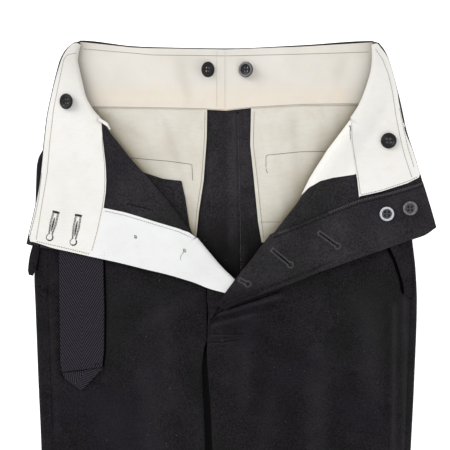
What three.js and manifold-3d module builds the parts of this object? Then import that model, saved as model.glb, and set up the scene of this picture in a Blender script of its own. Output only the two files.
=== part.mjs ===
// Tank crew trousers in heavy black wool, laid flat on their back with the fly open
// and both front corners turned outwards over the hips. Millimetres, +Z up.
// +Y runs from the hems to the waist. The wearer's right side lies at -X.
import * as THREE from "three";
import { mergeVertices } from "three/addons/utils/BufferGeometryUtils.js";
import Module from "manifold-3d";

const wasm = await Module();
wasm.setup();

// ---------------------------------------------------------------- driving dimensions
const WOOL = 2; // wall of the heavy wool
const COTTON = 1; // wall of the facings and the waist lining
const BAG = 0.8; // wall of the pocket cotton
const TAPE = 1.2; // wall of the belt webbing
const SEAM_GAP = 0.3; // clearance between two pieces that are sewn together
const LIE_GAP = 0.9; // clearance under a piece that lies on a curved panel
const RAW_EDGE = 1.5; // strip of wool left bare along a faced edge
const EDGE_ROLL = 5; // how far the rounding at an inside leg reaches in
const SETTLE = 30; // distance in which a turned corner comes down beyond its fold
const DROOP = 0.004; // sag of a corner past the body, for each square mm of overhang
const SAG_SPAN = 60; // distance from a side in which the front sinks to the middle height
const UNDERLAP = 2.9; // depth of the button stand below the buttonhole side

const wool = { color: 0x262426, roughness: 0.95, metalness: 0 };
const cream = { color: 0xe6e1d6, roughness: 0.85, metalness: 0 };
const white = { color: 0xf4f4f2, roughness: 0.85, metalness: 0 };
const webbing = { color: 0x2b292f, roughness: 0.9, metalness: 0 };
const resin = { color: 0x121113, roughness: 0.45, metalness: 0 };

// ---------------------------------------------------------------- tables
// Rows of numbers become rows with named columns.
const table = (names, rows) =>
  rows.map((row) => Object.fromEntries(names.map((name, i) => [name, row[i]])));

// The height of the laid garment: over its side rolls and in the middle of the front.
const HEIGHT = table(["y", "side", "middle"], [
  [534, 4.6, 4.6],
  [512, 7, 6.5],
  [480, 10, 8.5],
  [440, 12.5, 9.5],
  [350, 13, 10],
  [236, 13, 10],
  [176, 12, 8.5],
  [63, 11, 7.5],
  [-532, 9, 6.5],
]);

// Each side's outline, and the side seam's distance in from it on the upper face.
const RIGHT_SIDE = table(["y", "x", "seam"], [
  [530.5, -180.5, 2.8],
  [515, -186.5, 5],
  [488.5, -196, 10],
  [469, -200.5, 13.5],
  [440.5, -208.5, 16],
  [413, -214, 16],
  [398, -221.5, 16],
  [386.5, -223.5, 16],
  [260, -226, 16],
  [235.5, -225, 15],
  [144, -221.5, 14.5],
  [63, -218, 13.5],
  [-109, -213.5, 12],
  [-532, -197, 10],
]);
const LEFT_SIDE = table(["y", "x", "seam"], [
  [530.5, 168, 2.8],
  [515, 176, 5],
  [488.5, 182.5, 8],
  [440.5, 190.5, 8],
  [408, 196, 8],
  [373.5, 200.5, 8],
  [306, 207, 8],
  [270, 211, 8],
  [235.5, 212.5, 8],
  [144, 209.5, 8],
  [63, 205.5, 7],
  [-109, 197, 7],
  [-532, 176.5, 7],
]);

// The free edge of each front below its turned corner, then its seam and inside leg.
const RIGHT_FRONT_EDGE = table(["y", "x"], [
  [258, 4],
  [247, -0.5],
  [235.5, -6.5],
  [222, -8.5],
  [210.5, -13],
  [201, -22.5],
  [192, -28],
  [176, -32],
  [157.5, -34],
  [109, -32],
  [63, -30.5],
  [-109, -33],
  [-339, -38.5],
  [-532, -45.5],
]);
const LEFT_FRONT_EDGE = table(["y", "x"], [
  [229, -14.5],
  [222, -18.5],
  [201, -27.2],
  [192, -27.7],
  [176, -28.5],
  [157.5, -27.5],
  [109, -24],
  [63, -22],
  [-109, -11],
  [-339, 5],
  [-532, 21.5],
]);
// The seat seam from the waist to the crotch.
const SEAT_SEAM = table(["y", "x"], [
  [534, 5],
  [258, 10.5],
  [222, 5],
  [201, -15.5],
  [192, -27.8],
]);
// The back's waist edge, from side to side.
const WAIST_EDGE = table(["x", "y"], [
  [-180, 530.5],
  [-173.5, 534],
  [-113.5, 527.5],
  [-93.5, 526.5],
  [-6, 525],
  [79, 528.5],
  [161.5, 533.5],
  [168.5, 530.5],
]);

// The turned corners, a row across each: where the fold lies, where the row ends on the
// waist or fly edge, and the inner radius of the roll at the fold.
const RIGHT_TURN = table(["foldX", "foldY", "edgeX", "edgeY", "roll"], [
  [-173.5, 530.5, -180.5, 530.5, 0.5],
  [-175.5, 523, -189, 523, 1.2],
  [-177, 511.5, -195.5, 511.5, 1.8],
  [-174.5, 498, -200, 495.5, 2.2],
  [-171, 483, -204, 479, 2.8],
  [-167.5, 469, -207.5, 462.5, 3.3],
  [-159.5, 454, -211, 444, 3.8],
  [-147.5, 440.5, -213.5, 422, 4.2],
  [-137, 425.5, -216, 399, 4.5],
  [-125, 410.5, -220, 364.5, 4.5],
  [-114, 396.5, -226, 334.5, 4.5],
  [-101.5, 383, -233.8, 302.5, 4.5],
  [-95, 375.5, -217, 298, 4.5],
  [-89, 368, -199.5, 294, 4.5],
  [-74, 351, -162.5, 285.5, 4.5],
  [-61, 333.5, -130.5, 278.5, 4.3],
  [-49, 317.5, -100.5, 271, 4],
  [-38.5, 305, -75.5, 265, 3.6],
  [-26, 290, -47.5, 256.5, 3],
  [-12, 273.5, -26, 248.5, 2.4],
  [4, 258, -7.5, 243.5, 1.8],
]);
const LEFT_TURN = table(["foldX", "foldY", "edgeX", "edgeY", "roll"], [
  [162, 530.5, 168.5, 530.5, 0.5],
  [162.5, 523, 174, 523, 1],
  [162.5, 513, 179, 513, 1.6],
  [161, 499, 183.5, 498.5, 2],
  [155, 478.5, 188.5, 480, 2.8],
  [148, 461, 193.5, 459, 3.4],
  [135, 440.5, 199.5, 430, 4.2],
  [122, 423, 207.5, 405.5, 4.5],
  [108.5, 405, 218, 370.5, 4.5],
  [104, 397.5, 225.5, 346, 4.5],
  [99, 390, 233.5, 319, 4.5],
  [94, 382, 220, 310, 4.5],
  [89, 373.5, 206.5, 305.5, 4.5],
  [78.5, 353, 175.5, 295, 4.5],
  [60.5, 329, 136.5, 282, 4.5],
  [38.5, 300, 90.5, 265.5, 4.2],
  [33, 293, 79, 260.5, 4],
  [23, 279.5, 57, 252, 3.6],
  [5.7, 258, 28, 242, 2.8],
  [-6, 242.5, 7.5, 235, 2],
  [-14.5, 229, -8, 227, 1.2],
]);
// Where the rows of each half lie below its turned corner.
const LEG_ROWS = [201, 192, 176, 157.5, 133.5, 109, 63, -28.5, -132, -247, -362, -532];
const RIGHT_ROWS = [247, 235.5, 222, 210.5, ...LEG_ROWS];
const LEFT_ROWS = [222, 214, ...LEG_ROWS];

// ---------------------------------------------------------------- lines and heights
// Reads a column of a table at a place between its rows.
function read(rows, at, where, column) {
  const falling = rows[0][at] > rows[rows.length - 1][at];
  const list = falling ? [...rows].reverse() : rows;
  const next = list.findIndex((row) => row[at] > where);
  if (next < 0) return list[list.length - 1][column];
  if (next === 0) return list[0][column];
  const [low, high] = [list[next - 1], list[next]];
  const share = (where - low[at]) / (high[at] - low[at]);
  return THREE.MathUtils.lerp(low[column], high[column], share);
}
// Eases from 0 to 1 between two places, which may come in falling order.
const smooth = (from, to, value) => THREE.MathUtils.smoothstep((value - from) / (to - from), 0, 1);

const RIGHT = {
  out: -1,
  side: RIGHT_SIDE,
  frontEdge: RIGHT_FRONT_EDGE,
  turn: RIGHT_TURN,
  rows: RIGHT_ROWS,
  rest: 2.6, // the belt passes under this corner
};
const LEFT = {
  out: 1,
  side: LEFT_SIDE,
  frontEdge: LEFT_FRONT_EDGE,
  turn: LEFT_TURN,
  rows: LEFT_ROWS,
  rest: 1,
};
const CROTCH = { from: 190, to: 165 }; // the seat and fly seams part into two legs here

const sideHeight = (y) => read(HEIGHT, "y", y, "side");
const sideX = (half, y) => read(half.side, "y", y, "x");
const seamX = (half, y) => sideX(half, y) - half.out * read(half.side, "y", y, "seam");

// The button stand dips so that the buttonhole side can lie over it.
function dip(half, x, y) {
  if (half !== RIGHT) return 0;
  return UNDERLAP * smooth(-55, -32, x) * smooth(290, 262, y) * smooth(176, 192, y);
}

// The wool face of the front as it lies, away from the rounded side.
function frontTop(half, x, y) {
  const [side, middle] = [sideHeight(y), read(HEIGHT, "y", y, "middle")];
  const inwards = half.out * (sideX(half, y) - x) - side / 2;
  const high = THREE.MathUtils.lerp(side, middle, smooth(0, SAG_SPAN, inwards));
  return high - DROOP * Math.max(0, -inwards) ** 2 - dip(half, x, y);
}

// ---------------------------------------------------------------- cloth from rows of points
// Rows of points become triangles. Points at one place are shared, so two sheets that
// meet along a line make one cloth. With face -1 its right side is the other one.
function weave(sheets, face) {
  const points = [];
  const numbers = new Map();
  const triangles = [];
  const number = (point) => {
    const key = point.toArray().map((v) => Math.round(v * 1000)).join();
    if (!numbers.has(key)) {
      numbers.set(key, points.length);
      points.push(point);
    }
    return numbers.get(key);
  };
  const add = (...corners) => {
    if (new Set(corners).size < corners.length) return;
    triangles.push(face > 0 ? corners : corners.reverse());
  };
  for (const rows of sheets) {
    for (let r = 0; r + 1 < rows.length; r++) {
      for (let c = 0; c + 1 < rows[r].length; c++) {
        const corners = [rows[r][c], rows[r][c + 1], rows[r + 1][c + 1], rows[r + 1][c]];
        const [a, b, d, e] = corners.map(number);
        if (points[a].distanceTo(points[d]) <= points[b].distanceTo(points[e])) {
          add(a, b, d);
          add(a, d, e);
        } else {
          add(a, b, e);
          add(b, d, e);
        }
      }
    }
  }
  return { points, triangles, number };
}

// The way each point of a cloth faces, as a mean of its triangles' normals.
function facing({ points, triangles }) {
  const normals = points.map(() => new THREE.Vector3());
  for (const [a, b, c] of triangles) {
    const ab = points[b].clone().sub(points[a]);
    const ac = points[c].clone().sub(points[a]);
    const normal = ab.cross(ac);
    for (const corner of [a, b, c]) normals[corner].add(normal);
  }
  for (const normal of normals) normal.normalize();
  return normals;
}

// Gives a cloth its wall on the side away from its face, and closes its edges.
function wall(cloth, normals, thickness) {
  const { points, triangles } = cloth;
  const back = points.map((point, i) => point.clone().addScaledVector(normals[i], -thickness));
  const n = points.length; // a point and its copy on the back are n apart
  const faces = triangles.flatMap(([a, b, c]) => [a, b, c, c + n, b + n, a + n]);
  const used = new Set();
  for (const [a, b, c] of triangles) {
    for (const edge of [[a, b], [b, c], [c, a]]) used.add(edge.join());
  }
  for (const edge of used) {
    const [a, b] = edge.split(",").map(Number);
    if (!used.has([b, a].join())) faces.push(b, a, a + n, b, a + n, b + n);
  }
  const geometry = new THREE.BufferGeometry();
  const numbers = [...points, ...back].flatMap((point) => point.toArray());
  geometry.setAttribute("position", new THREE.Float32BufferAttribute(numbers, 3));
  geometry.setIndex(faces);
  return geometry;
}

function clothOf(sheets, thickness, face) {
  const cloth = weave(sheets, face);
  return wall(cloth, facing(cloth), thickness);
}

// ---------------------------------------------------------------- the fronts
const BODY_COLUMNS = [0, 0.12, 0.3, 0.55, 0.8, 1]; // from the side seam to the rounding
const LEG_ARC = [0.35, 0.65, 0.85, 1]; // shares of the rounding at the inside leg
const SEAM_DROP = 0.4; // straight stretch at the end of that rounding
const ROLL_STEPS = 8;
const FACED_FROM = ROLL_STEPS - 1; // the column near the top of the roll where facings start
const TURN_COLUMNS = [0.12, 0.28, 0.5, 0.7, 0.86, 1]; // from the roll to the edge

// The middle of the roll at each row of a turned corner, and the way across the fold.
function rolls(half) {
  return half.turn.map((row, i, all) => {
    const [before, after] = [all[Math.max(i - 1, 0)], all[Math.min(i + 1, all.length - 1)]];
    const along = new THREE.Vector2(after.foldX - before.foldX, after.foldY - before.foldY);
    const across = new THREE.Vector2(along.y, -along.x).normalize();
    if (across.x * half.out > 0) across.negate();
    const reach = row.roll + WOOL;
    return { ...row, across, x: row.foldX - across.x * reach, y: row.foldY - across.y * reach };
  });
}

// One row of a turned corner, on its wool face: round the roll, then out to the edge.
function turnRow(half, roll) {
  const points = [];
  const low = frontTop(half, roll.x, roll.y);
  for (let i = 0; i <= ROLL_STEPS; i++) {
    const angle = THREE.MathUtils.degToRad(-90 + (180 * i) / ROLL_STEPS);
    const reach = roll.roll * Math.cos(angle);
    const height = low + roll.roll * (1 + Math.sin(angle));
    points.push(new THREE.Vector3(roll.x + roll.across.x * reach, roll.y + roll.across.y * reach, height));
  }
  const length = Math.hypot(roll.edgeX - roll.x, roll.edgeY - roll.y);
  for (const share of TURN_COLUMNS) {
    const x = THREE.MathUtils.lerp(roll.x, roll.edgeX, share);
    const y = THREE.MathUtils.lerp(roll.y, roll.edgeY, share);
    const rest = Math.min(half.rest, 2 * roll.roll);
    const lift = THREE.MathUtils.lerp(2 * roll.roll, rest, smooth(0, SETTLE, share * length));
    points.push(new THREE.Vector3(x, y, frontTop(half, x, y) + lift));
  }
  return points;
}

// One row of a front, on its wool face, from the side seam to its end on the fold, the
// free edge or the inside leg. Below the crotch the end rounds down to meet the back.
function bodyRow(half, y, end) {
  const start = seamX(half, y) - half.out * SEAM_GAP;
  const width = Math.abs(end.x - start);
  const reach = Math.min(EDGE_ROLL, 0.4 * width);
  const parted = smooth(CROTCH.from, CROTCH.to, y);
  const at = (inset, fall) => {
    const x = end.x + half.out * inset;
    const row = THREE.MathUtils.lerp(end.y, y, inset / width);
    return new THREE.Vector3(x, row, frontTop(half, x, row) - fall);
  };
  const flat = BODY_COLUMNS.map((share) => at(THREE.MathUtils.lerp(width, reach, share), 0));
  const top = flat[flat.length - 1].z;
  const depth = parted * (top / 2 - SEAM_GAP / 2 - SEAM_DROP);
  const arc = LEG_ARC.map((share) => {
    const angle = (share * Math.PI) / 2;
    return at(reach * (1 - Math.sin(angle)), depth * (1 - Math.cos(angle)));
  });
  return [...flat, ...arc, at(0, depth + parted * SEAM_DROP)];
}

// A whole front: its rows from the waist to the hem, its turned corner and its cloth.
function frontOf(half) {
  const folds = rolls(half);
  const turned = folds.map((roll) => turnRow(half, roll));
  const free = half.rows.map((y) => ({ y, x: read(half.frontEdge, "y", y, "x") }));
  const body = [
    ...folds.map((roll) => bodyRow(half, roll.foldY, { x: roll.x, y: roll.y })),
    ...free.map((end) => bodyRow(half, end.y, end)),
  ];
  const cloth = weave([body, turned], half.out);
  const normals = facing(cloth);
  const normalAt = (point) => normals[cloth.number(point)];
  // the inside of the turned corner, which now faces up
  const lining = turned.map((row) =>
    row.map((point) => {
      const up = normalAt(point).clone().negate();
      return { point: point.clone().addScaledVector(up, WOOL), up };
    }),
  );
  const outside = body.map((row) => row.map((point) => ({ point, up: normalAt(point) })));
  return { geometry: wall(cloth, normals, WOOL), lining, outside };
}

// ---------------------------------------------------------------- the backs
const SEAT_COLUMNS = [1, 0.7, 0.35, 0]; // shares of the rounding at the inside leg
const FLAT_COLUMNS = [0.5, 1]; // from the rounding to the side roll
const SIDE_STEPS = 5;

function backOf(half) {
  const levels = [...half.turn.map((row) => row.foldY), ...half.rows];
  const rows = levels.map((y) => backRow(half, y));
  return clothOf([rows], WOOL, half.out);
}

// One row of a back, on its wool face: along the floor from the seat seam or the inside
// leg, round the side and in to the side seam on top.
function backRow(half, y) {
  const parted = smooth(CROTCH.from, CROTCH.to, y);
  const seat = y > CROTCH.from ? read(SEAT_SEAM, "y", y, "x") : read(half.frontEdge, "y", y, "x");
  const start = seat + (half.out * SEAM_GAP) / 2;
  const radius = sideHeight(y) / 2;
  const middle = sideX(half, y) - half.out * radius;
  const top = frontTop(half, seat + half.out * EDGE_ROLL, y);
  const height = parted * (top / 2 - SEAM_GAP / 2 - SEAM_DROP);
  const points = SEAT_COLUMNS.map((share) => {
    const angle = (share * Math.PI) / 2;
    const x = start + half.out * EDGE_ROLL * (1 - Math.sin(angle));
    return new THREE.Vector3(x, y, height * (1 - Math.cos(angle)));
  });
  points.unshift(new THREE.Vector3(start, y, height + parted * SEAM_DROP));
  const flatStart = start + half.out * EDGE_ROLL;
  for (const share of FLAT_COLUMNS) {
    points.push(new THREE.Vector3(THREE.MathUtils.lerp(flatStart, middle, share), y, 0));
  }
  for (let i = 1; i <= SIDE_STEPS; i++) {
    const angle = THREE.MathUtils.degToRad(-90 + (180 * i) / SIDE_STEPS);
    const x = middle + half.out * radius * Math.cos(angle);
    points.push(new THREE.Vector3(x, y, radius * (1 + Math.sin(angle))));
  }
  points.push(new THREE.Vector3(seamX(half, y), y, 2 * radius));
  return points.map((point) => raised(point, y));
}

// The rows near the waist follow the curve of the waist edge.
function raised(point, y) {
  const [top, level] = [WAIST_EDGE[0].y, 440];
  const curve = read(WAIST_EDGE, "x", point.x, "y") - top;
  point.y = y + curve * THREE.MathUtils.clamp((y - level) / (top - level), 0, 1);
  return point;
}

// ---------------------------------------------------------------- pieces that lie on others
// The column at which a row crosses a line, both seen from above; a part column counts.
function crossing(row, line, first) {
  for (let c = first; c + 1 < row.length; c++) {
    const [a, b] = [row[c].point, row[c + 1].point];
    for (let i = 0; i + 1 < line.length; i++) {
      const [p, q] = [line[i], line[i + 1]];
      const cross = (b.x - a.x) * (q.y - p.y) - (b.y - a.y) * (q.x - p.x);
      const onRow = ((p.x - a.x) * (q.y - p.y) - (p.y - a.y) * (q.x - p.x)) / cross;
      const onLine = ((p.x - a.x) * (b.y - a.y) - (p.y - a.y) * (b.x - a.x)) / cross;
      if (onRow >= 0 && onRow < 1 && onLine >= 0 && onLine <= 1) return c + onRow;
    }
  }
  return null;
}

// Moves a column along its row by a distance in mm.
const CLOSEST = 0.5; // points of a row nearer than this count as this far apart
function shifted(row, column, distance) {
  const c = THREE.MathUtils.clamp(Math.ceil(column) - 1, 0, row.length - 2);
  return column + distance / Math.max(row[c].point.distanceTo(row[c + 1].point), CLOSEST);
}

function pointAt(row, column, height) {
  const c = THREE.MathUtils.clamp(Math.floor(column), 0, row.length - 2);
  const [a, b] = [row[c], row[c + 1]];
  const up = a.up.clone().lerp(b.up, column - c).normalize();
  return a.point.clone().lerp(b.point, column - c).addScaledVector(up, height);
}

// A sheet made from a panel's own points, moved out. It runs from one line across the
// rows to another; where a row misses a line, the sheet starts or ends at a fixed column.
function overlay({ rows, from, to, start, end, thickness, face }) {
  const sheet = rows.map((row) => {
    const met = (lines) => lines.map((line) => crossing(row, line, start)).filter((c) => c !== null);
    const [low, high] = [met(from), met(to)];
    const first = low.length ? shifted(row, Math.max(...low), SEAM_GAP / 2) : start;
    const free = shifted(row, end, -RAW_EDGE);
    const edge = high.length ? shifted(row, Math.min(...high), -SEAM_GAP / 2) : free;
    const last = Math.max(edge, start);
    const within = (c) => Math.min(Math.max(c, first), last);
    return row.map((_, c) => pointAt(row, within(c), LIE_GAP + thickness));
  });
  const cloth = weave([sheet], face);
  return { cloth, geometry: wall(cloth, facing(cloth), thickness) };
}

// A flat sheet on a flat panel.
function laid(corners, low, thickness) {
  const outline = new THREE.Shape(corners.map(({ x, y }) => new THREE.Vector2(x, y)));
  const geometry = new THREE.ExtrudeGeometry(outline, { depth: thickness, bevelEnabled: false });
  return geometry.translate(0, 0, low);
}

const line = (rows) => table(["x", "y"], rows);

// ---------------------------------------------------------------- buttons
const BUTTON = { brace: 9, fly: 8.5, thick: 3, rim: 2.6, dish: 1.1, hole: 0.9, holeAt: 1.8 };

const asManifold = (geometry) => {
  const bare = geometry.clone();
  bare.deleteAttribute("normal");
  bare.deleteAttribute("uv");
  const merged = mergeVertices(bare);
  const vertProperties = merged.attributes.position.array;
  const triVerts = Uint32Array.from(merged.index.array);
  return new wasm.Manifold(new wasm.Mesh({ numProp: 3, vertProperties, triVerts }));
};
const asGeometry = (solid) => {
  const mesh = solid.getMesh();
  const geometry = new THREE.BufferGeometry();
  geometry.setAttribute("position", new THREE.BufferAttribute(mesh.vertProperties, 3));
  geometry.setIndex(new THREE.BufferAttribute(mesh.triVerts, 1));
  return geometry;
};

// A dished button with four holes, lying on its back at the origin.
function buttonOf(radius) {
  const { thick, rim, dish, hole, holeAt } = BUTTON;
  const profile = [
    [0, 0],
    [radius - 1, 0],
    [radius, 1],
    [radius, thick - 1],
    [radius - 0.8, thick],
    [radius - rim + 0.6, thick],
    [radius - rim - 0.4, thick - dish],
    [0, thick - dish],
  ].map(([x, y]) => new THREE.Vector2(x, y));
  let disc = asManifold(new THREE.LatheGeometry(profile, 20).rotateX(Math.PI / 2));
  for (let i = 0; i < 4; i++) {
    const angle = (i + 0.5) * (Math.PI / 2);
    const drill = new THREE.CylinderGeometry(hole, hole, 3 * thick, 8).rotateX(Math.PI / 2);
    drill.translate(holeAt * Math.cos(angle), holeAt * Math.sin(angle), 0);
    disc = disc.subtract(asManifold(drill));
  }
  return asGeometry(disc);
}

// The point of a cloth under a place seen from above, and the way it faces there.
const UPRIGHT = 0.01; // a triangle with less area than this in plan stands on edge
function placeOn({ points, triangles }, x, y) {
  const place = new THREE.Vector3(x, y, 0);
  for (const corners of triangles) {
    const face = new THREE.Triangle(...corners.map((i) => points[i]));
    const plan = new THREE.Triangle(...corners.map((i) => points[i].clone().setZ(0)));
    if (plan.getArea() < UPRIGHT || !plan.containsPoint(place)) continue;
    const normal = face.getNormal(new THREE.Vector3());
    const fall = (normal.x * (x - face.a.x) + normal.y * (y - face.a.y)) / normal.z;
    return { point: place.setZ(face.a.z - fall), normal };
  }
  throw new Error(`no cloth at ${x}, ${y}`);
}

// Sets a button down on its cloth, leaning on its rim where its threads let it tilt.
function sewOn(button, { point, normal }, radius, lean) {
  const seat = new THREE.Quaternion().setFromUnitVectors(new THREE.Vector3(0, 0, 1), normal);
  const tilt = new THREE.Quaternion().setFromAxisAngle(
    new THREE.Vector3(lean.y, -lean.x, 0).normalize(),
    THREE.MathUtils.degToRad(lean.degrees),
  );
  button.quaternion.copy(seat.multiply(tilt));
  const rise = SEAM_GAP + (radius - 1) * Math.sin(THREE.MathUtils.degToRad(lean.degrees));
  button.position.copy(point).addScaledVector(normal, rise);
}

// ---------------------------------------------------------------- the trousers
const trousers = new THREE.Group();
function piece(name, geometry, finish) {
  const mesh = new THREE.Mesh(geometry, new THREE.MeshStandardMaterial(finish));
  mesh.name = name;
  trousers.add(mesh);
  return mesh;
}

const rightFront = frontOf(RIGHT);
const leftFront = frontOf(LEFT);
piece("right_back", backOf(RIGHT), wool);
piece("left_back", backOf(LEFT), wool);
piece("right_front", rightFront.geometry, wool);
piece("left_front", leftFront.geometry, wool);

// Facings on the turned corners. Their lines run from the waist down.
const RIGHT_FACING_LINE = line([
  [-151, 452],
  [-148.5, 438],
  [-146, 415.5],
  [-143.5, 392],
  [-143, 373.5],
  [-143.5, 360],
  [-146, 341.5],
  [-152, 314],
  [-158, 291.5],
  [-163, 281],
]);
const RIGHT_FLY_LINE = line([
  [-153.5, 345],
  [-146, 341.5],
  [-122, 336.5],
  [-80.5, 324],
  [-60.5, 318],
  [-49.5, 313.5],
  [-41, 307],
]);
const LEFT_FACING_LINE = line([
  [138, 450],
  [136, 438],
  [135.5, 418.5],
  [138.5, 402],
  [143.5, 373.5],
  [145.5, 354.5],
  [146, 351],
]);
const LEFT_FACING_END = line([
  [141, 353],
  [145.5, 354.5],
  [170, 360],
  [200, 369.5],
  [215, 377],
  [221.5, 380.5],
]);
const LEFT_BAG_LINE = line([
  [74, 349.5],
  [79, 354.5],
  [87.5, 364],
  [100.5, 372],
  [115, 376],
  [140, 379.5],
  [144.5, 380],
]);
const LEFT_FLY_LINE = line([
  [51, 288],
  [50, 309],
  [79, 324.5],
  [112, 338],
  [145, 351],
  [178, 359],
  [211, 368.5],
  [221.5, 373.5],
]);

// A sheet on the inside of a turned corner, between two of the corner's rows.
function onCorner(half, front, first, last, from, to, thickness) {
  const rows = front.lining.slice(first, last + 1);
  const end = rows[0].length - 1;
  return overlay({ rows, from, to, start: FACED_FROM, end, thickness, face: -half.out });
}
const rightFacing = onCorner(RIGHT, rightFront, 0, 14, [RIGHT_FACING_LINE], [], COTTON);
const leftFacing = onCorner(LEFT, leftFront, 0, 11, [LEFT_FACING_LINE], [LEFT_FACING_END], COTTON);
const rightFly = onCorner(RIGHT, rightFront, 12, 19, [RIGHT_FLY_LINE], [RIGHT_FACING_LINE], COTTON);
const leftFly = onCorner(LEFT, leftFront, 8, 20, [LEFT_FLY_LINE], [], WOOL);
const leftBag = onCorner(LEFT, leftFront, 7, 12, [], [LEFT_FACING_LINE, LEFT_BAG_LINE], BAG);
piece("right_waist_facing", rightFacing.geometry, cream);
piece("left_waist_facing", leftFacing.geometry, cream);
piece("right_fly_facing", rightFly.geometry, white);
piece("left_fly_facing", leftFly.geometry, wool);
piece("left_front_pocket_bag", leftBag.geometry, cream);

// Linings inside the back. Each runs on a little way under the front's fold.
const LINING_LOW = WOOL + SEAM_GAP;
const LINING_SEAM_X = -6;
const waistEdgeBetween = (from, to) =>
  WAIST_EDGE.filter(({ x }) => x > from && x < to).map(({ x, y }) => ({ x, y: y - 1 }));
const rightLining = [
  { x: LINING_SEAM_X - SEAM_GAP / 2, y: 524 },
  { x: LINING_SEAM_X - SEAM_GAP / 2, y: 453.8 },
  ...line([
    [-31, 455.3],
    [-70.5, 456.3],
    [-166, 458],
    [-174, 480],
    [-177, 505],
    [-173, 516],
    [-173, 532],
  ]),
  ...waistEdgeBetween(-173, -7),
];
const leftLining = [
  { x: LINING_SEAM_X + SEAM_GAP / 2, y: 524 },
  ...waistEdgeBetween(-5, 161),
  ...line([
    [161, 532],
    [161, 516],
    [165, 505],
    [160, 475],
    [152, 460.8],
    [79, 460.3],
    [22.5, 456.8],
  ]),
  { x: LINING_SEAM_X + SEAM_GAP / 2, y: 453.8 },
];
piece("right_back_lining", laid(rightLining, LINING_LOW, COTTON), cream);
piece("left_back_lining", laid(leftLining, LINING_LOW, COTTON), cream);

const rightBag = line([
  [-28, 453.5],
  [-28.5, 422],
  [-32, 373.5],
  [-37.5, 337],
  [-40.5, 308],
  [-48, 300],
  [-60, 312],
  [-85, 345],
  [-113, 380],
  [-135, 405],
  [-157, 430],
  [-168, 456],
  [-70.5, 455.7],
  [-31, 454.7],
]);
const leftBackBag = line([
  [22.5, 456.2],
  [21.5, 414],
  [25.5, 376],
  [30.5, 325.5],
  [35, 301],
  [48, 302],
  [70, 330],
  [98, 372],
  [118, 400],
  [133, 420],
  [148, 440],
  [157, 460.2],
  [79, 459.7],
]);
const pocketFacing = line([
  [-101.5, 382.5],
  [-78.5, 375],
  [-57.5, 372.5],
  [-53, 353],
  [-48, 320],
  [-44.5, 310.5],
  [-52, 306],
  [-66, 324],
  [-84, 345],
  [-104, 369],
]);
piece("right_pocket_bag", laid(rightBag, LINING_LOW, BAG), cream);
piece("left_pocket_bag", laid(leftBackBag, LINING_LOW, BAG), cream);
piece("right_pocket_facing", laid(pocketFacing, LINING_LOW + BAG + SEAM_GAP, COTTON), wool);

// The belt's loose end on the right front, folded to a point, and the pocket flaps.
const BELT_OUTER = line([
  [-197.5, 320],
  [-197.5, 157.5],
  [-173, 133],
]);
const BELT_INNER = line([
  [-147.5, 320],
  [-147.5, 157.5],
  [-171, 133],
]);
const ONTO_FRONT = { start: 0, end: 1 };
const belt = overlay({
  rows: rightFront.outside.slice(17, 30),
  from: [BELT_OUTER],
  to: [BELT_INNER],
  ...ONTO_FRONT,
  thickness: TAPE,
  face: RIGHT.out,
});
piece("belt", belt.geometry, webbing);
const POCKET_SLIT = line([
  [176, 302],
  [179.5, 293],
  [198, 243],
  [202, 232],
]);
const leftPocketFlap = overlay({
  rows: leftFront.outside.slice(16, 20),
  from: [],
  to: [POCKET_SLIT],
  ...ONTO_FRONT,
  thickness: WOOL,
  face: LEFT.out,
});
piece("left_pocket_flap", leftPocketFlap.geometry, wool);
const rightTab = line([
  [-228, 295],
  [-231, 288.5],
  [-231, 272.5],
  [-229.5, 265.5],
  [-213.5, 265.5],
  [-213.5, 295],
]);
piece("right_pocket_flap", laid(rightTab, sideHeight(280) + LIE_GAP, WOOL), wool);

// Four brace buttons inside the waist and two fly buttons. A button leans towards x, y
// by some degrees.
const BACK_LINING_TOP = LINING_LOW + COTTON;
const onBack = (x, y) => ({
  point: new THREE.Vector3(x, y, BACK_LINING_TOP),
  normal: new THREE.Vector3(0, 0, 1),
});
const { brace, fly } = BUTTON;
const BUTTONS = table(["name", "radius", "seat", "lean"], [
  ["right_front_brace_button", brace, placeOn(rightFacing.cloth, -186.5, 462.5), [1, 0.2, 24]],
  ["left_front_brace_button", brace, placeOn(leftFacing.cloth, 179, 418), [1, 0, 4]],
  ["right_back_brace_button", brace, onBack(-28, 500), [-1, 0.1, 38]],
  ["left_back_brace_button", brace, onBack(17, 500), [1, 0.1, 28]],
  ["fly_button_upper", fly, placeOn(leftFly.cloth, 177, 335), [1, 1, 6]],
  ["fly_button_outer", fly, placeOn(leftFly.cloth, 203, 340.5), [1, -1, 20]],
]);
for (const { name, radius, seat, lean } of BUTTONS) {
  const [x, y, degrees] = lean;
  sewOn(piece(name, buttonOf(radius), resin), seat, radius, { x, y, degrees });
}

export default trousers;
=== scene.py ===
# %% [markdown]
# # Tank crew trousers, laid flat
# Heavy black wool trousers lie on their back with the fly open and both front corners
# turned out, so the cotton inside shows. Cloth like this is thin and stiff: it makes broad
# rolls where it folds and lies almost flat elsewhere. So every panel here is a grid of
# points on the same form as the solid part, only finer, with a thin wall. A cloth
# simulation would drape it too, but would not hold this exact outline.

# %% Load the solid part
import math

import bpy
import numpy as np
from mathutils import Matrix, Vector
from mathutils.bvhtree import BVHTree


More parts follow.
